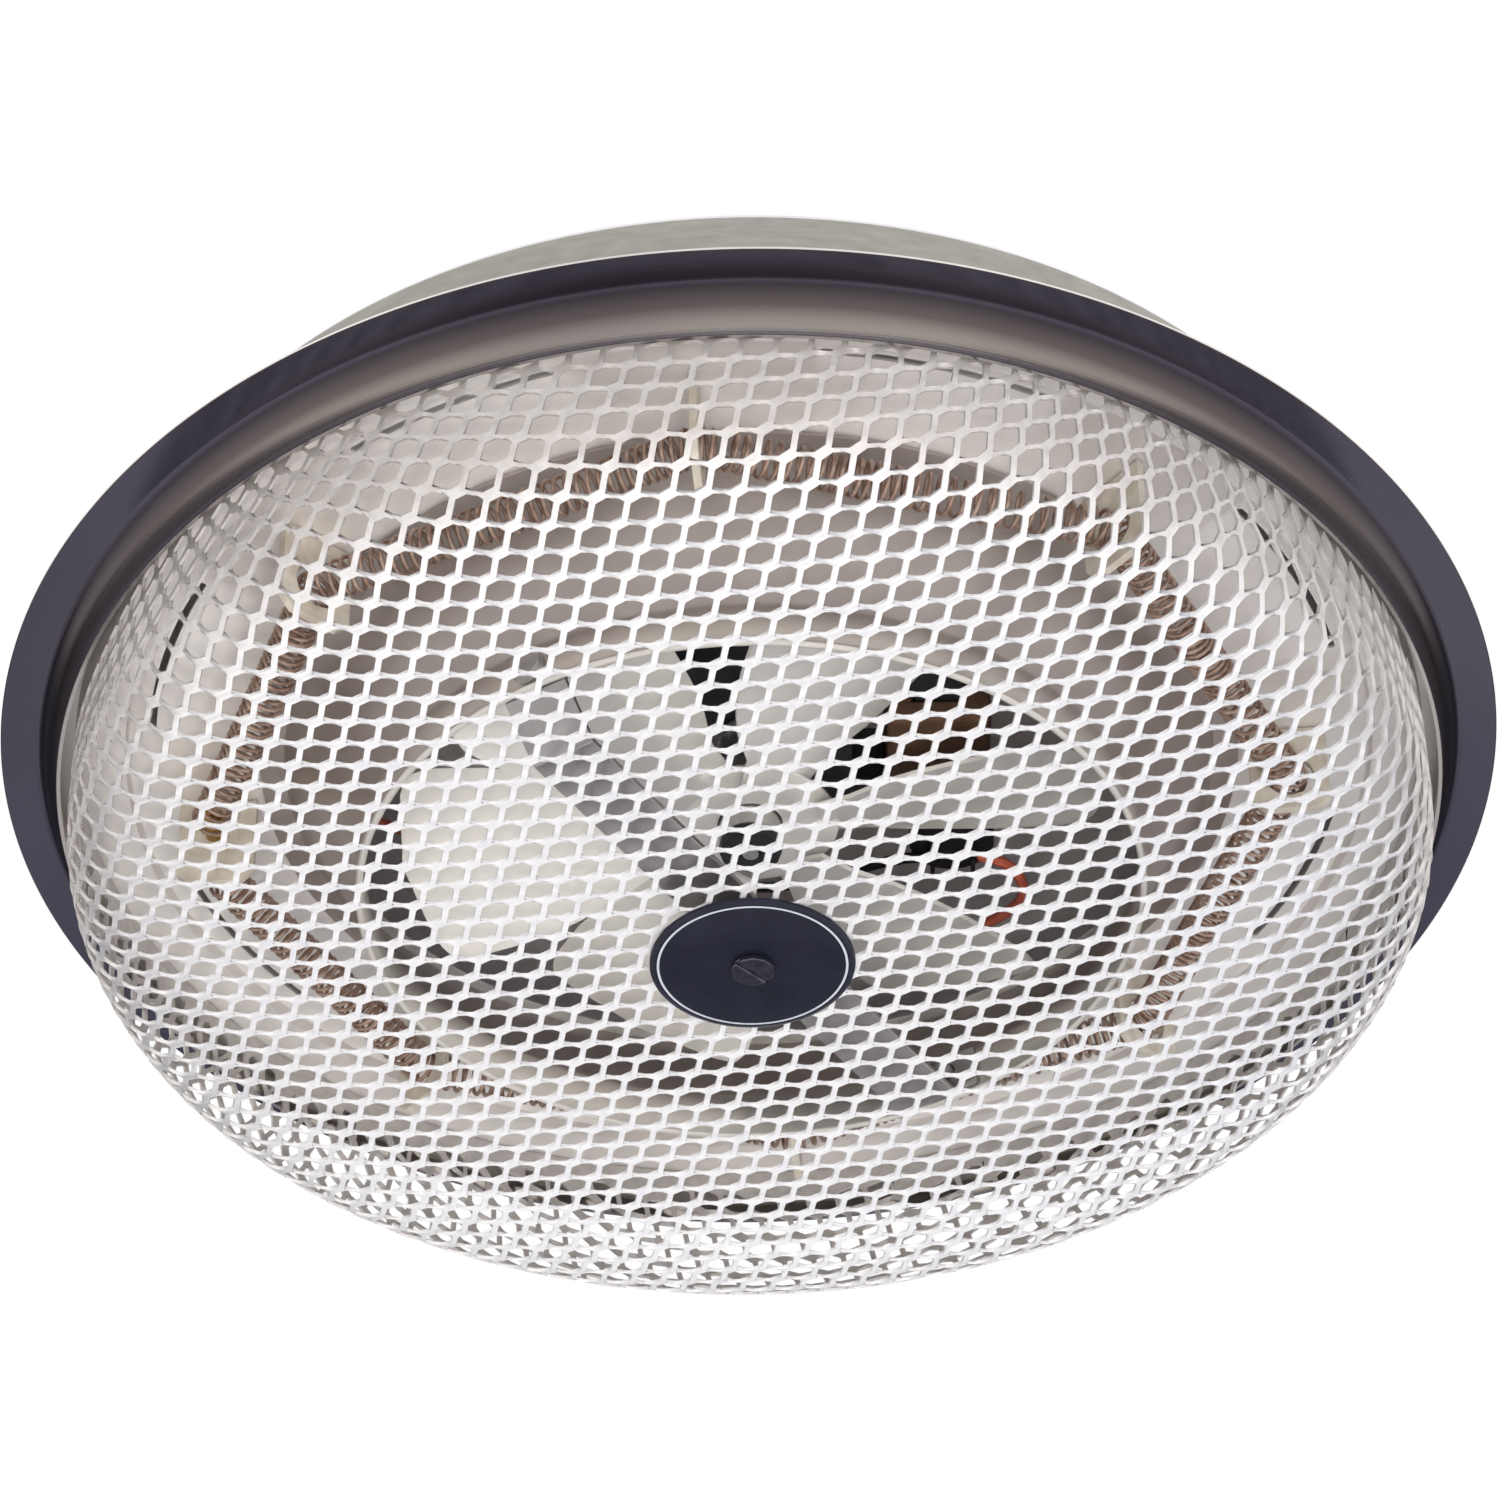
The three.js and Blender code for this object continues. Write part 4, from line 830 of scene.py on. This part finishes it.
# Fan: six broad paddles and their disc stamped from one sheet of aluminium and twisted at the
# root, pressed on a steel hub, with a black plastic retainer on the shaft's tip.
fan_level = rim_level - 10
fan_turn = math.radians(170)
fan_pitch = math.radians(20)
fan_radius = 68.0
fan_gauge = 0.9
paddles = 6
root_share = 0.2
tip_share = 0.9
tip_sweep = 1.6
paddle_camber = 1.4
camber_span = 24.0
camber_growth = 3
disc_inner, disc_radius, disc_edge = 6.3, 17.0, 0.4


def paddle_half_width(share):
    """Half the paddle's width at a share of the fan's radius."""
    stations = [(0.2, 7.0), (0.3, 8.4), (0.42, 13.4), (0.56, 17.4), (0.72, 20.2), (0.86, 21.4)]
    stations += [(0.93, 20.4), (0.97, 17.4), (0.99, 12.6), (1.0, 6.0)]
    return float(np.interp(share, *zip(*stations)))


def paddle_point(share, offset, side, spin):
    """A point on the upper (1) or lower (-1) side, by its shares of the length and half width."""
    x = share * fan_radius
    if share > tip_share:
        x -= tip_sweep * offset * offset * (share - tip_share) / (1 - tip_share)
    y = offset * paddle_half_width(share)
    crown = (1 - (y / camber_span) ** 2) * min(1, (share - root_share) * camber_growth)
    z = side * fan_gauge / 2 + paddle_camber * crown - paddle_camber / 2
    y, z = (
        y * math.cos(fan_pitch) - z * math.sin(fan_pitch),
        y * math.sin(fan_pitch) + z * math.cos(fan_pitch),
    )
    return (
        x * math.cos(spin) - y * math.sin(spin),
        x * math.sin(spin) + y * math.cos(spin),
        fan_level + z,
    )


def paddles_mesh():
    """Each paddle as a net of points on either side, joined round its edge."""
    points, faces = [], []
    shares = [0.2, 0.25, 0.3, 0.36, 0.42, 0.5, 0.6, 0.7, 0.8, 0.86, 0.9]
    shares += [0.93, 0.955, 0.975, 0.99, 1.0]
    offsets = [-1, -0.85, -0.6, -0.3, 0, 0.3, 0.6, 0.85, 1]
    wide, long = len(offsets), len(shares)
    under = wide * long
    edge = list(range(wide))
    edge += [row * wide + wide - 1 for row in range(1, long)]
    edge += [(long - 1) * wide + column for column in range(wide - 2, -1, -1)]
    edge += [row * wide for row in range(long - 2, 0, -1)]
    for paddle in range(paddles):
        spin = fan_turn + paddle * 2 * math.pi / paddles
        start = len(points)
        for side in (1, -1):
            for share in shares:
                points += [paddle_point(share, offset, side, spin) for offset in offsets]
        for row in range(long - 1):
            for column in range(wide - 1):
                a = start + row * wide + column
                faces.append((a, a + wide, a + wide + 1, a + 1))
                b = a + under
                faces.append((b, b + 1, b + wide + 1, b + wide))
        for here, after in zip(edge, edge[1:] + edge[:1]):
            a, b = start + here, start + after
            faces.append((a, b, b + under, a + under))
    mesh = mesh_from("fan_paddles", points, faces)
    shape = bmesh.new()
    shape.from_mesh(mesh)
    bmesh.ops.recalc_face_normals(shape, faces=shape.faces)
    shape.to_mesh(mesh)
    shape.free()
    return mesh


# The blades' sheet is matt and takes the lamp's colour, with faint rolling lines.
matt, matt_shader, place = surface("matt_sheet_aluminium", "#f2eeea", 0.36, 0.5)
tint = mottle(matt, place, 18, "#edeae6", "#f8f5f1")
grain = mottle(matt, place, 1.2, 0.0, 1.0, 2.0, (1, 14, 1))
relief = add(matt, "ShaderNodeBump", {"Height": grain, "Distance": 0.01 * MM})
feed(matt_shader, {"Base Color": tint, "Normal": relief.outputs[0]})
show("fan_paddles", paddles_mesh(), matt, "fan", "fan_blades", slot="blade_aluminium", smooth=50)
half_gauge = fan_gauge / 2
disc_face = disc_radius - disc_edge
disc_outline = [
    (disc_inner, fan_level - half_gauge),
    (disc_face, fan_level - half_gauge),
    (disc_radius, fan_level - disc_edge / 2),
    (disc_radius, fan_level + disc_edge / 2),
    (disc_face, fan_level + half_gauge),
    (disc_inner, fan_level + half_gauge),
]
show("fan_disc", turned("fan_disc", disc_outline, 64), matt, "fan", slot="blade_aluminium")
dress("fan_hub", zinc)
dress("fan_retainer", moulded, 0.3)


# Grille: one sheet of expanded aluminium, drawn into a shallow dome with a plain hem. Its slits
# were pulled open, so that strands and bonds lean, and the net shears where the dome turns down.
sheet_gauge = 0.6
sheet_middle = 0.65
wall_radius = 129.3
pole_drop = 43.6
crown_drop = 6.3
crown_span = 117.6
crown_power = 4.3
crown_edge = 116.0
hem_width = 4.0
hem_level = pan_flange_under - seat_gap
draw_start = 112.0
least_pull, more_pull = 0.96, 0.14
skew_start = 60.0
last_cell_gap = 2.0
hole_gap = 0.6

# One cell of the flat net: the steps to its neighbours along and across the strands, half of its
# opening's corners, how far these are twisted out of the sheet, and how its cut edges lean.
along_step = np.array([6.13, -0.40])
across_step = np.array([-2.36, 5.735])
first_cell = 0.71 * across_step - 0.03 * along_step
half_opening = [(2.25, 1.3), (0.25, 2.58), (-1.3, 2.46), (-2.85, 2.3), (-2.55, 0.4)]
opening = np.array(half_opening + [(-x, -y) for x, y in half_opening])
half_twist = [-0.06, -0.12, -0.18, -0.1, 0]
twist = half_twist + [-rise for rise in half_twist]
lean_back = np.array([0.03, 0.18])


def dome_curve():
    """Distance along the dome from its pole, with the radius, level and lean there."""
    crown_points, bend_points = 233, 33
    radius = np.linspace(0, crown_edge, crown_points)
    level = rim_level - pole_drop + crown_drop * (radius / crown_span) ** crown_power
    steepness = crown_drop * crown_power / crown_span
    lean = np.arctan(steepness * (radius / crown_span) ** (crown_power - 1))
    turn = np.linspace(lean[-1], quarter, bend_points)[1:]
    bend = (wall_radius - crown_edge) / (1 - math.sin(lean[-1]))
    radius = np.append(radius, crown_edge + bend * (np.sin(turn) - math.sin(lean[-1])))
    level = np.append(level, level[-1] + bend * (math.cos(lean[-1]) - np.cos(turn)))
    radius = np.append(radius, wall_radius)
    level = np.append(level, hem_level)
    lean = np.append(lean, [*turn, quarter])
    distance = np.append(0, np.cumsum(np.hypot(np.diff(radius), np.diff(level))))
    return distance, radius, level, lean


dome = dome_curve()
dome_length = dome[0][-1]
net_end = dome_length - hem_width


def pull(bearing):
    """How far the net is pulled lengthwise where the dome turns down, by its bearing."""
    return least_pull + more_pull * math.sin(2 * bearing) ** 2


def drawn(flat, limit):
    """Distance and bearing on the dome of a point of the flat net, kept inside a limit."""
    distance = math.hypot(*flat)
    bearing = math.atan2(flat[1], flat[0])
    crowding = distance / max(float(np.interp(distance, dome[0], dome[1])), 1) - 1
    if distance > draw_start:
        distance = draw_start + (distance - draw_start) * pull(bearing)
    if distance > skew_start:
        bearing += crowding / 4 * math.sin(4 * bearing)
    return min(distance, limit), bearing


def dome_point(distance, bearing, depth):
    """A point in the metal, a given depth under the dome's outside."""
    radius, level, lean = (float(np.interp(distance, dome[0], row)) for row in dome[1:])
    radius -= depth * math.sin(lean)
    level += depth * math.cos(lean)
    return (radius * math.cos(bearing), radius * math.sin(bearing), level)


def grille_mesh():
    """The sheet: ten-cornered cells with an opening in each, and the hem round the last ones.
    Point number n of the outside is vertex 2n of the mesh, and the inside's is vertex 2n + 1."""
    diagonal = along_step + across_step
    bond_end = (along_step + diagonal) / 3
    bond_start = (diagonal + across_step) / 3
    next_bond = (across_step - along_step) / 3
    half_cell = [
        bond_end,
        bond_start,
        (bond_start + next_bond) / 2,
        next_bond,
        (next_bond - bond_end) / 2,
    ]
    cell = half_cell + [-offset for offset in half_cell]
    points, places, faces, shared, edges = [], [], [], {}, {}

    def add_place(outside, inside, rise=0):
        places.append(outside)
        points.append(dome_point(*outside, sheet_middle + rise - sheet_gauge / 2))
        points.append(dome_point(*inside, sheet_middle + rise + sheet_gauge / 2))
        return len(places) - 1

    def add_point(flat, rise, limit):
        return add_place(drawn(flat, limit), drawn(flat - lean_back, limit), rise)

    # More steps each way than the dome has room for
    reach = int(2 * dome_length / 5)
    # Points of neighbouring cells that fall within 0.02 mm are one
    finest = 0.02
    for i in range(-reach, reach + 1):
        for j in range(-reach, reach + 1):
            centre = first_cell + i * along_step + j * across_step
            if drawn(centre, math.inf)[0] > net_end - last_cell_gap:
                continue
            rim = []
            for offset in cell:
                flat = centre + offset
                key = (round(flat[0] / finest), round(flat[1] / finest))
                if key not in shared:
                    shared[key] = add_point(flat, 0, net_end)
                rim.append(shared[key])
            hole = [
                add_point(centre + offset, rise, net_end - hole_gap)
                for offset, rise in zip(opening, twist)
            ]
            for corner in range(len(cell)):
                after = (corner + 1) % len(cell)
                a, b, c, d = rim[corner], rim[after], hole[after], hole[corner]
                edges[(a, b)] = True
                faces.append((2 * b, 2 * a, 2 * d, 2 * c))
                faces.append((2 * a + 1, 2 * b + 1, 2 * c + 1, 2 * d + 1))
                faces.append((2 * c, 2 * d, 2 * d + 1, 2 * c + 1))

    # The net's outer edge is made of the edges that only one cell has
    onward = {a: b for a, b in edges if (b, a) not in edges}
    start = next(iter(onward))
    loop = [start]
    while onward[loop[-1]] != start:
        loop.append(onward[loop[-1]])
    angles = np.unwrap([places[k][1] for k in loop])
    full = 2 * math.pi * (1 if angles[-1] > angles[0] else -1)
    smoothings = 6
    for _ in range(smoothings):
        before = np.concatenate([[angles[-1] - full], angles[:-1]])
        after = np.concatenate([angles[1:], [angles[0] + full]])
        angles = (before + 2 * angles + after) / 4
    hem = [add_place((dome_length, angle), (dome_length, angle)) for angle in angles]
    for index, a in enumerate(loop):
        after = (index + 1) % len(loop)
        b, c, d = loop[after], hem[after], hem[index]
        faces.append((2 * a, 2 * b, 2 * c, 2 * d))
        faces.append((2 * b + 1, 2 * a + 1, 2 * d + 1, 2 * c + 1))
        faces.append((2 * d, 2 * c, 2 * c + 1, 2 * d + 1))
    return mesh_from("grille_sheet", points, faces)


# Bright aluminium, left bare: near white on the crown, and a duller grey up the wall, which is
# painted shade.
expanded, expanded_shader, place = surface("expanded_aluminium", "#efeff2", 0.3, 0.35)
crown_tint = mottle(expanded, place, 2.5, "#e9e9ee", "#f8f8fa")
# Painted shade: the wall's tint is a darker grey than the crown's, blended in by level.
wall_painted_shade = mottle(expanded, place, 2.5, "#b5b0ae", "#c7c3c1")
level = add(expanded, "ShaderNodeSeparateXYZ", {0: place}).outputs[2]
crown_low, wall_high = rim_level - 40, rim_level - 28
tint = blend_by_level(expanded, level, crown_low, wall_high, crown_tint, wall_painted_shade)
grain = mottle(expanded, place, 0.7, 0.0, 1.0, 2.0)
relief = add(expanded, "ShaderNodeBump", {"Height": grain, "Distance": 0.02 * MM})
feed(expanded_shader, {"Base Color": tint, "Normal": relief.outputs[0]})
show(
    "grille_sheet",
    grille_mesh(),
    expanded,
    "grille",
    "grille_mesh",
    slot="expanded_aluminium",
    smooth=60,
)


# Badge: a dished steel disc under the grille's middle, enamelled near black, with one pale ring
# line near its edge and a plated backing disc behind the net.
badge_radius = 19.3
badge_hole = 2.3
badge_height = 0.9
badge_top = rim_level - pole_drop - seat_gap
badge_foot = badge_top - badge_height
badge_edge = ((-1.0, 0), (-0.45, 0.06), (-0.12, 0.24), (0, 0.5))
ring_radius = 17.7
ring_half_width = 0.22
badge_outline = [
    (badge_hole, badge_foot),
    *[(badge_radius + out, badge_foot + up) for out, up in badge_edge],
    (badge_radius, badge_top),
    (badge_hole, badge_top),
]

# Enamel is smooth and glossy over a dark blue ground.
enamel, enamel_shader, place = surface("dark_enamel", "#1a1c28", 0.25)
reach = round_axis(enamel, place)[0]
ring = add(
    enamel,
    "ShaderNodeMath",
    {0: reach, 1: ring_radius * MM, 2: ring_half_width * MM},
    operation="COMPARE",
)
ground = mottle(enamel, place, 8, "#171925", "#1e202e")
tint = add(
    enamel,
    "ShaderNodeMix",
    {share_in: ring.outputs[0], first_in: ground, second_in: colour("#b9bcc6")},
    data_type="RGBA",
)
grain = mottle(enamel, place, 1.0, 0.0, 1.0)
relief = add(enamel, "ShaderNodeBump", {"Height": grain, "Distance": 0.006 * MM})
feed(
    enamel_shader,
    {
        "Base Color": tint.outputs[mixed_out],
        "Specular IOR Level": 0.25,
        "Normal": relief.outputs[0],
    },
)
badge_mesh = turned("badge_disc", badge_outline, 96)
show("badge_disc", badge_mesh, enamel, "grille", "badge_plate", slot="badge_enamel")
dress("badge_backing", zinc)


# Grille screw: a slotted steel screw through the badge into the crossbar's nut. It is blackened:
# dark, with sharp glints on its edges.
blackened, blackened_shader, place = surface("blackened_steel", "#4b4b55", 0.22, 0.9)
feed(blackened_shader, {"Base Color": mottle(blackened, place, 2, "#4b4b57", "#6c6c78", 4.0)})
dress("grille_screw", blackened, 0.3)


# Studio: a pale floor far below, soft lamps in front and at the right, and a small warm spot on
# the fan. Grey cards beyond the heater stand for the dark room that the polished metal mirrors.
floor_half = 6000
floor_level = -2400
target = Vector((0, 0, rim_level))


def stage_sheet(name, points, material):
    """A flat sheet with four corners that belongs to the studio."""
    mesh = mesh_from(name, points, [(0, 1, 2, 3)])
    sheet = bpy.data.objects.new(name, mesh)
    bpy.context.scene.collection.objects.link(sheet)
    mesh.materials.append(material)
    sheet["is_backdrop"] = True
    return sheet


# Pale matt floor paint: it is seen and mirrored as an even near white, and takes the lamps' light
# for all else.
floor_paint, floor_shader = surface("floor_paint", "#f6f5f2", 0.8)[:2]
path = add(floor_paint, "ShaderNodeLightPath")
seen = add(
    floor_paint,
    "ShaderNodeMath",
    {0: path.outputs["Is Camera Ray"], 1: path.outputs["Is Glossy Ray"]},
    operation="MAXIMUM",
)
glow = add(floor_paint, "ShaderNodeEmission", {"Color": colour("#fbfaf7"), "Strength": 1.0})
both = add(
    floor_paint,
    "ShaderNodeMixShader",
    {0: seen.outputs[0], 1: floor_shader.outputs[0], 2: glow.outputs[0]},
)
feed(floor_paint.node_tree.nodes["Material Output"], {0: both.outputs[0]})
floor_signs = ((-1, -1), (1, -1), (1, 1), (-1, 1))
floor_points = [(x * floor_half, y * floor_half, floor_level) for x, y in floor_signs]
stage_sheet("floor", floor_points, floor_paint)


def card(name, centre, width, height, paint):
    """A flat card that faces the heater, seen only in reflections."""
    middle = Vector(centre)
    face = (target - middle).normalized()
    side = face.cross(Vector((0, 0, 1))).normalized() * width / 2
    up = side.cross(face).normalized() * height / 2
    points = [middle - side - up, middle + side - up, middle + side + up, middle - side + up]
    sheet = stage_sheet(name, points, paint)
    sheet.visible_camera = False
    sheet.visible_diffuse = False
    sheet.visible_shadow = False


# Matt paints, dark, middle and pale grey: no gloss, so that only their tone shows in the metal.
dark_paint = surface("card_paint", "#26262e", 0.9)[0]
side_paint = surface("side_card_paint", "#6a6a74", 0.9)[0]
grey_paint = surface("grey_card_paint", "#b0b0bc", 0.9)[0]
card("far_card", (0, 1150, rim_level - 950), 480, 340, dark_paint)
card("low_card", (0, 1300, rim_level - 780), 1500, 420, grey_paint)
card("left_card", (-1100, 1250, rim_level - 150), 1500, 1300, side_paint)
card("right_card", (1100, 1250, rim_level - 150), 1500, 1300, side_paint)


def lamp(name, kind, place_mm, aim_mm, watts, tint, **shape):
    """A lamp that is aimed at a point and isn't seen in reflections."""
    data = bpy.data.lights.new(name, kind)
    data.energy = watts
    data.color = colour(tint)[:3]
    for setting, value in shape.items():
        setattr(data, setting, value)
    light = bpy.data.objects.new(name, data)
    light.location = [c * MM for c in place_mm]
    aim = Vector(aim_mm) * MM - light.location
    light.rotation_euler = aim.to_track_quat("-Z", "Y").to_euler()
    light.visible_glossy = False
    bpy.context.scene.collection.objects.link(light)


lamp("front_lamp", "AREA", (200, -1300, -1250), target, 31, "#fffcf8", size=1200 * MM)
lamp("right_lamp", "AREA", (1500, -500, -700), target, 9, "#f3f6ff", size=900 * MM)
lamp(
    "flash",
    "SPOT",
    (-200, -900, rim_level - 1200),
    (-42, 2, fan_level),
    210,
    "#fff3e0",
    spot_size=math.radians(4.2),
    spot_blend=0.8,
    shadow_soft_size=120 * MM,
)

# The backdrop lights the heater softly, and is seen and mirrored as plain white.
world = bpy.data.worlds.new("studio")
bpy.context.scene.world = world
world.use_nodes = True
backdrop = world.node_tree.nodes["Background"]
feed(backdrop, {"Color": colour("#eef0f6"), "Strength": 0.62})
paper = add(world, "ShaderNodeBackground", {"Color": (1, 1, 1, 1), "Strength": 1.0})
path = add(world, "ShaderNodeLightPath")
seen = path.outputs["Is Camera Ray"]
for ray in ("Is Glossy Ray", "Is Transmission Ray"):
    either = {0: seen, 1: path.outputs[ray]}
    seen = add(world, "ShaderNodeMath", either, operation="MAXIMUM").outputs[0]
both = add(
    world,
    "ShaderNodeMixShader",
    {0: seen, 1: backdrop.outputs[0], 2: paper.outputs[0]},
)
feed(world.node_tree.nodes["World Output"], {0: both.outputs[0]})
bpy.context.scene.view_settings.view_transform = "Standard"


# Camera: it stands below the near edge of the heater and looks up at it through a long lens.
# The small shift and roll put the heater where the photograph has it.
camera_distance = 1057
camera_climb = math.radians(39.99)
camera_roll = math.radians(-0.99)
forward = Vector((0, math.cos(camera_climb), math.sin(camera_climb)))
downward = Vector((0, math.sin(camera_climb), -math.cos(camera_climb)))
sideways = Vector((1, 0, 0))
camera_right = sideways * math.cos(camera_roll) - downward * math.sin(camera_roll)
camera_down = sideways * math.sin(camera_roll) + downward * math.cos(camera_roll)
camera_place = (target - forward * camera_distance) * MM
camera_data = bpy.data.cameras.new("camera")
camera_data.sensor_width = 36
camera_data.lens = 132
camera_data.shift_x = 0.00036
camera_data.shift_y = 0.0218
camera = bpy.data.objects.new("camera", camera_data)
turn = Matrix((camera_right, -camera_down, -forward)).transposed()
camera.matrix_world = Matrix.Translation(camera_place) @ turn.to_4x4()
bpy.context.scene.collection.objects.link(camera)
bpy.context.scene.camera = camera


# Bounds of all the shown pieces of the heater, without the studio
low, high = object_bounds()
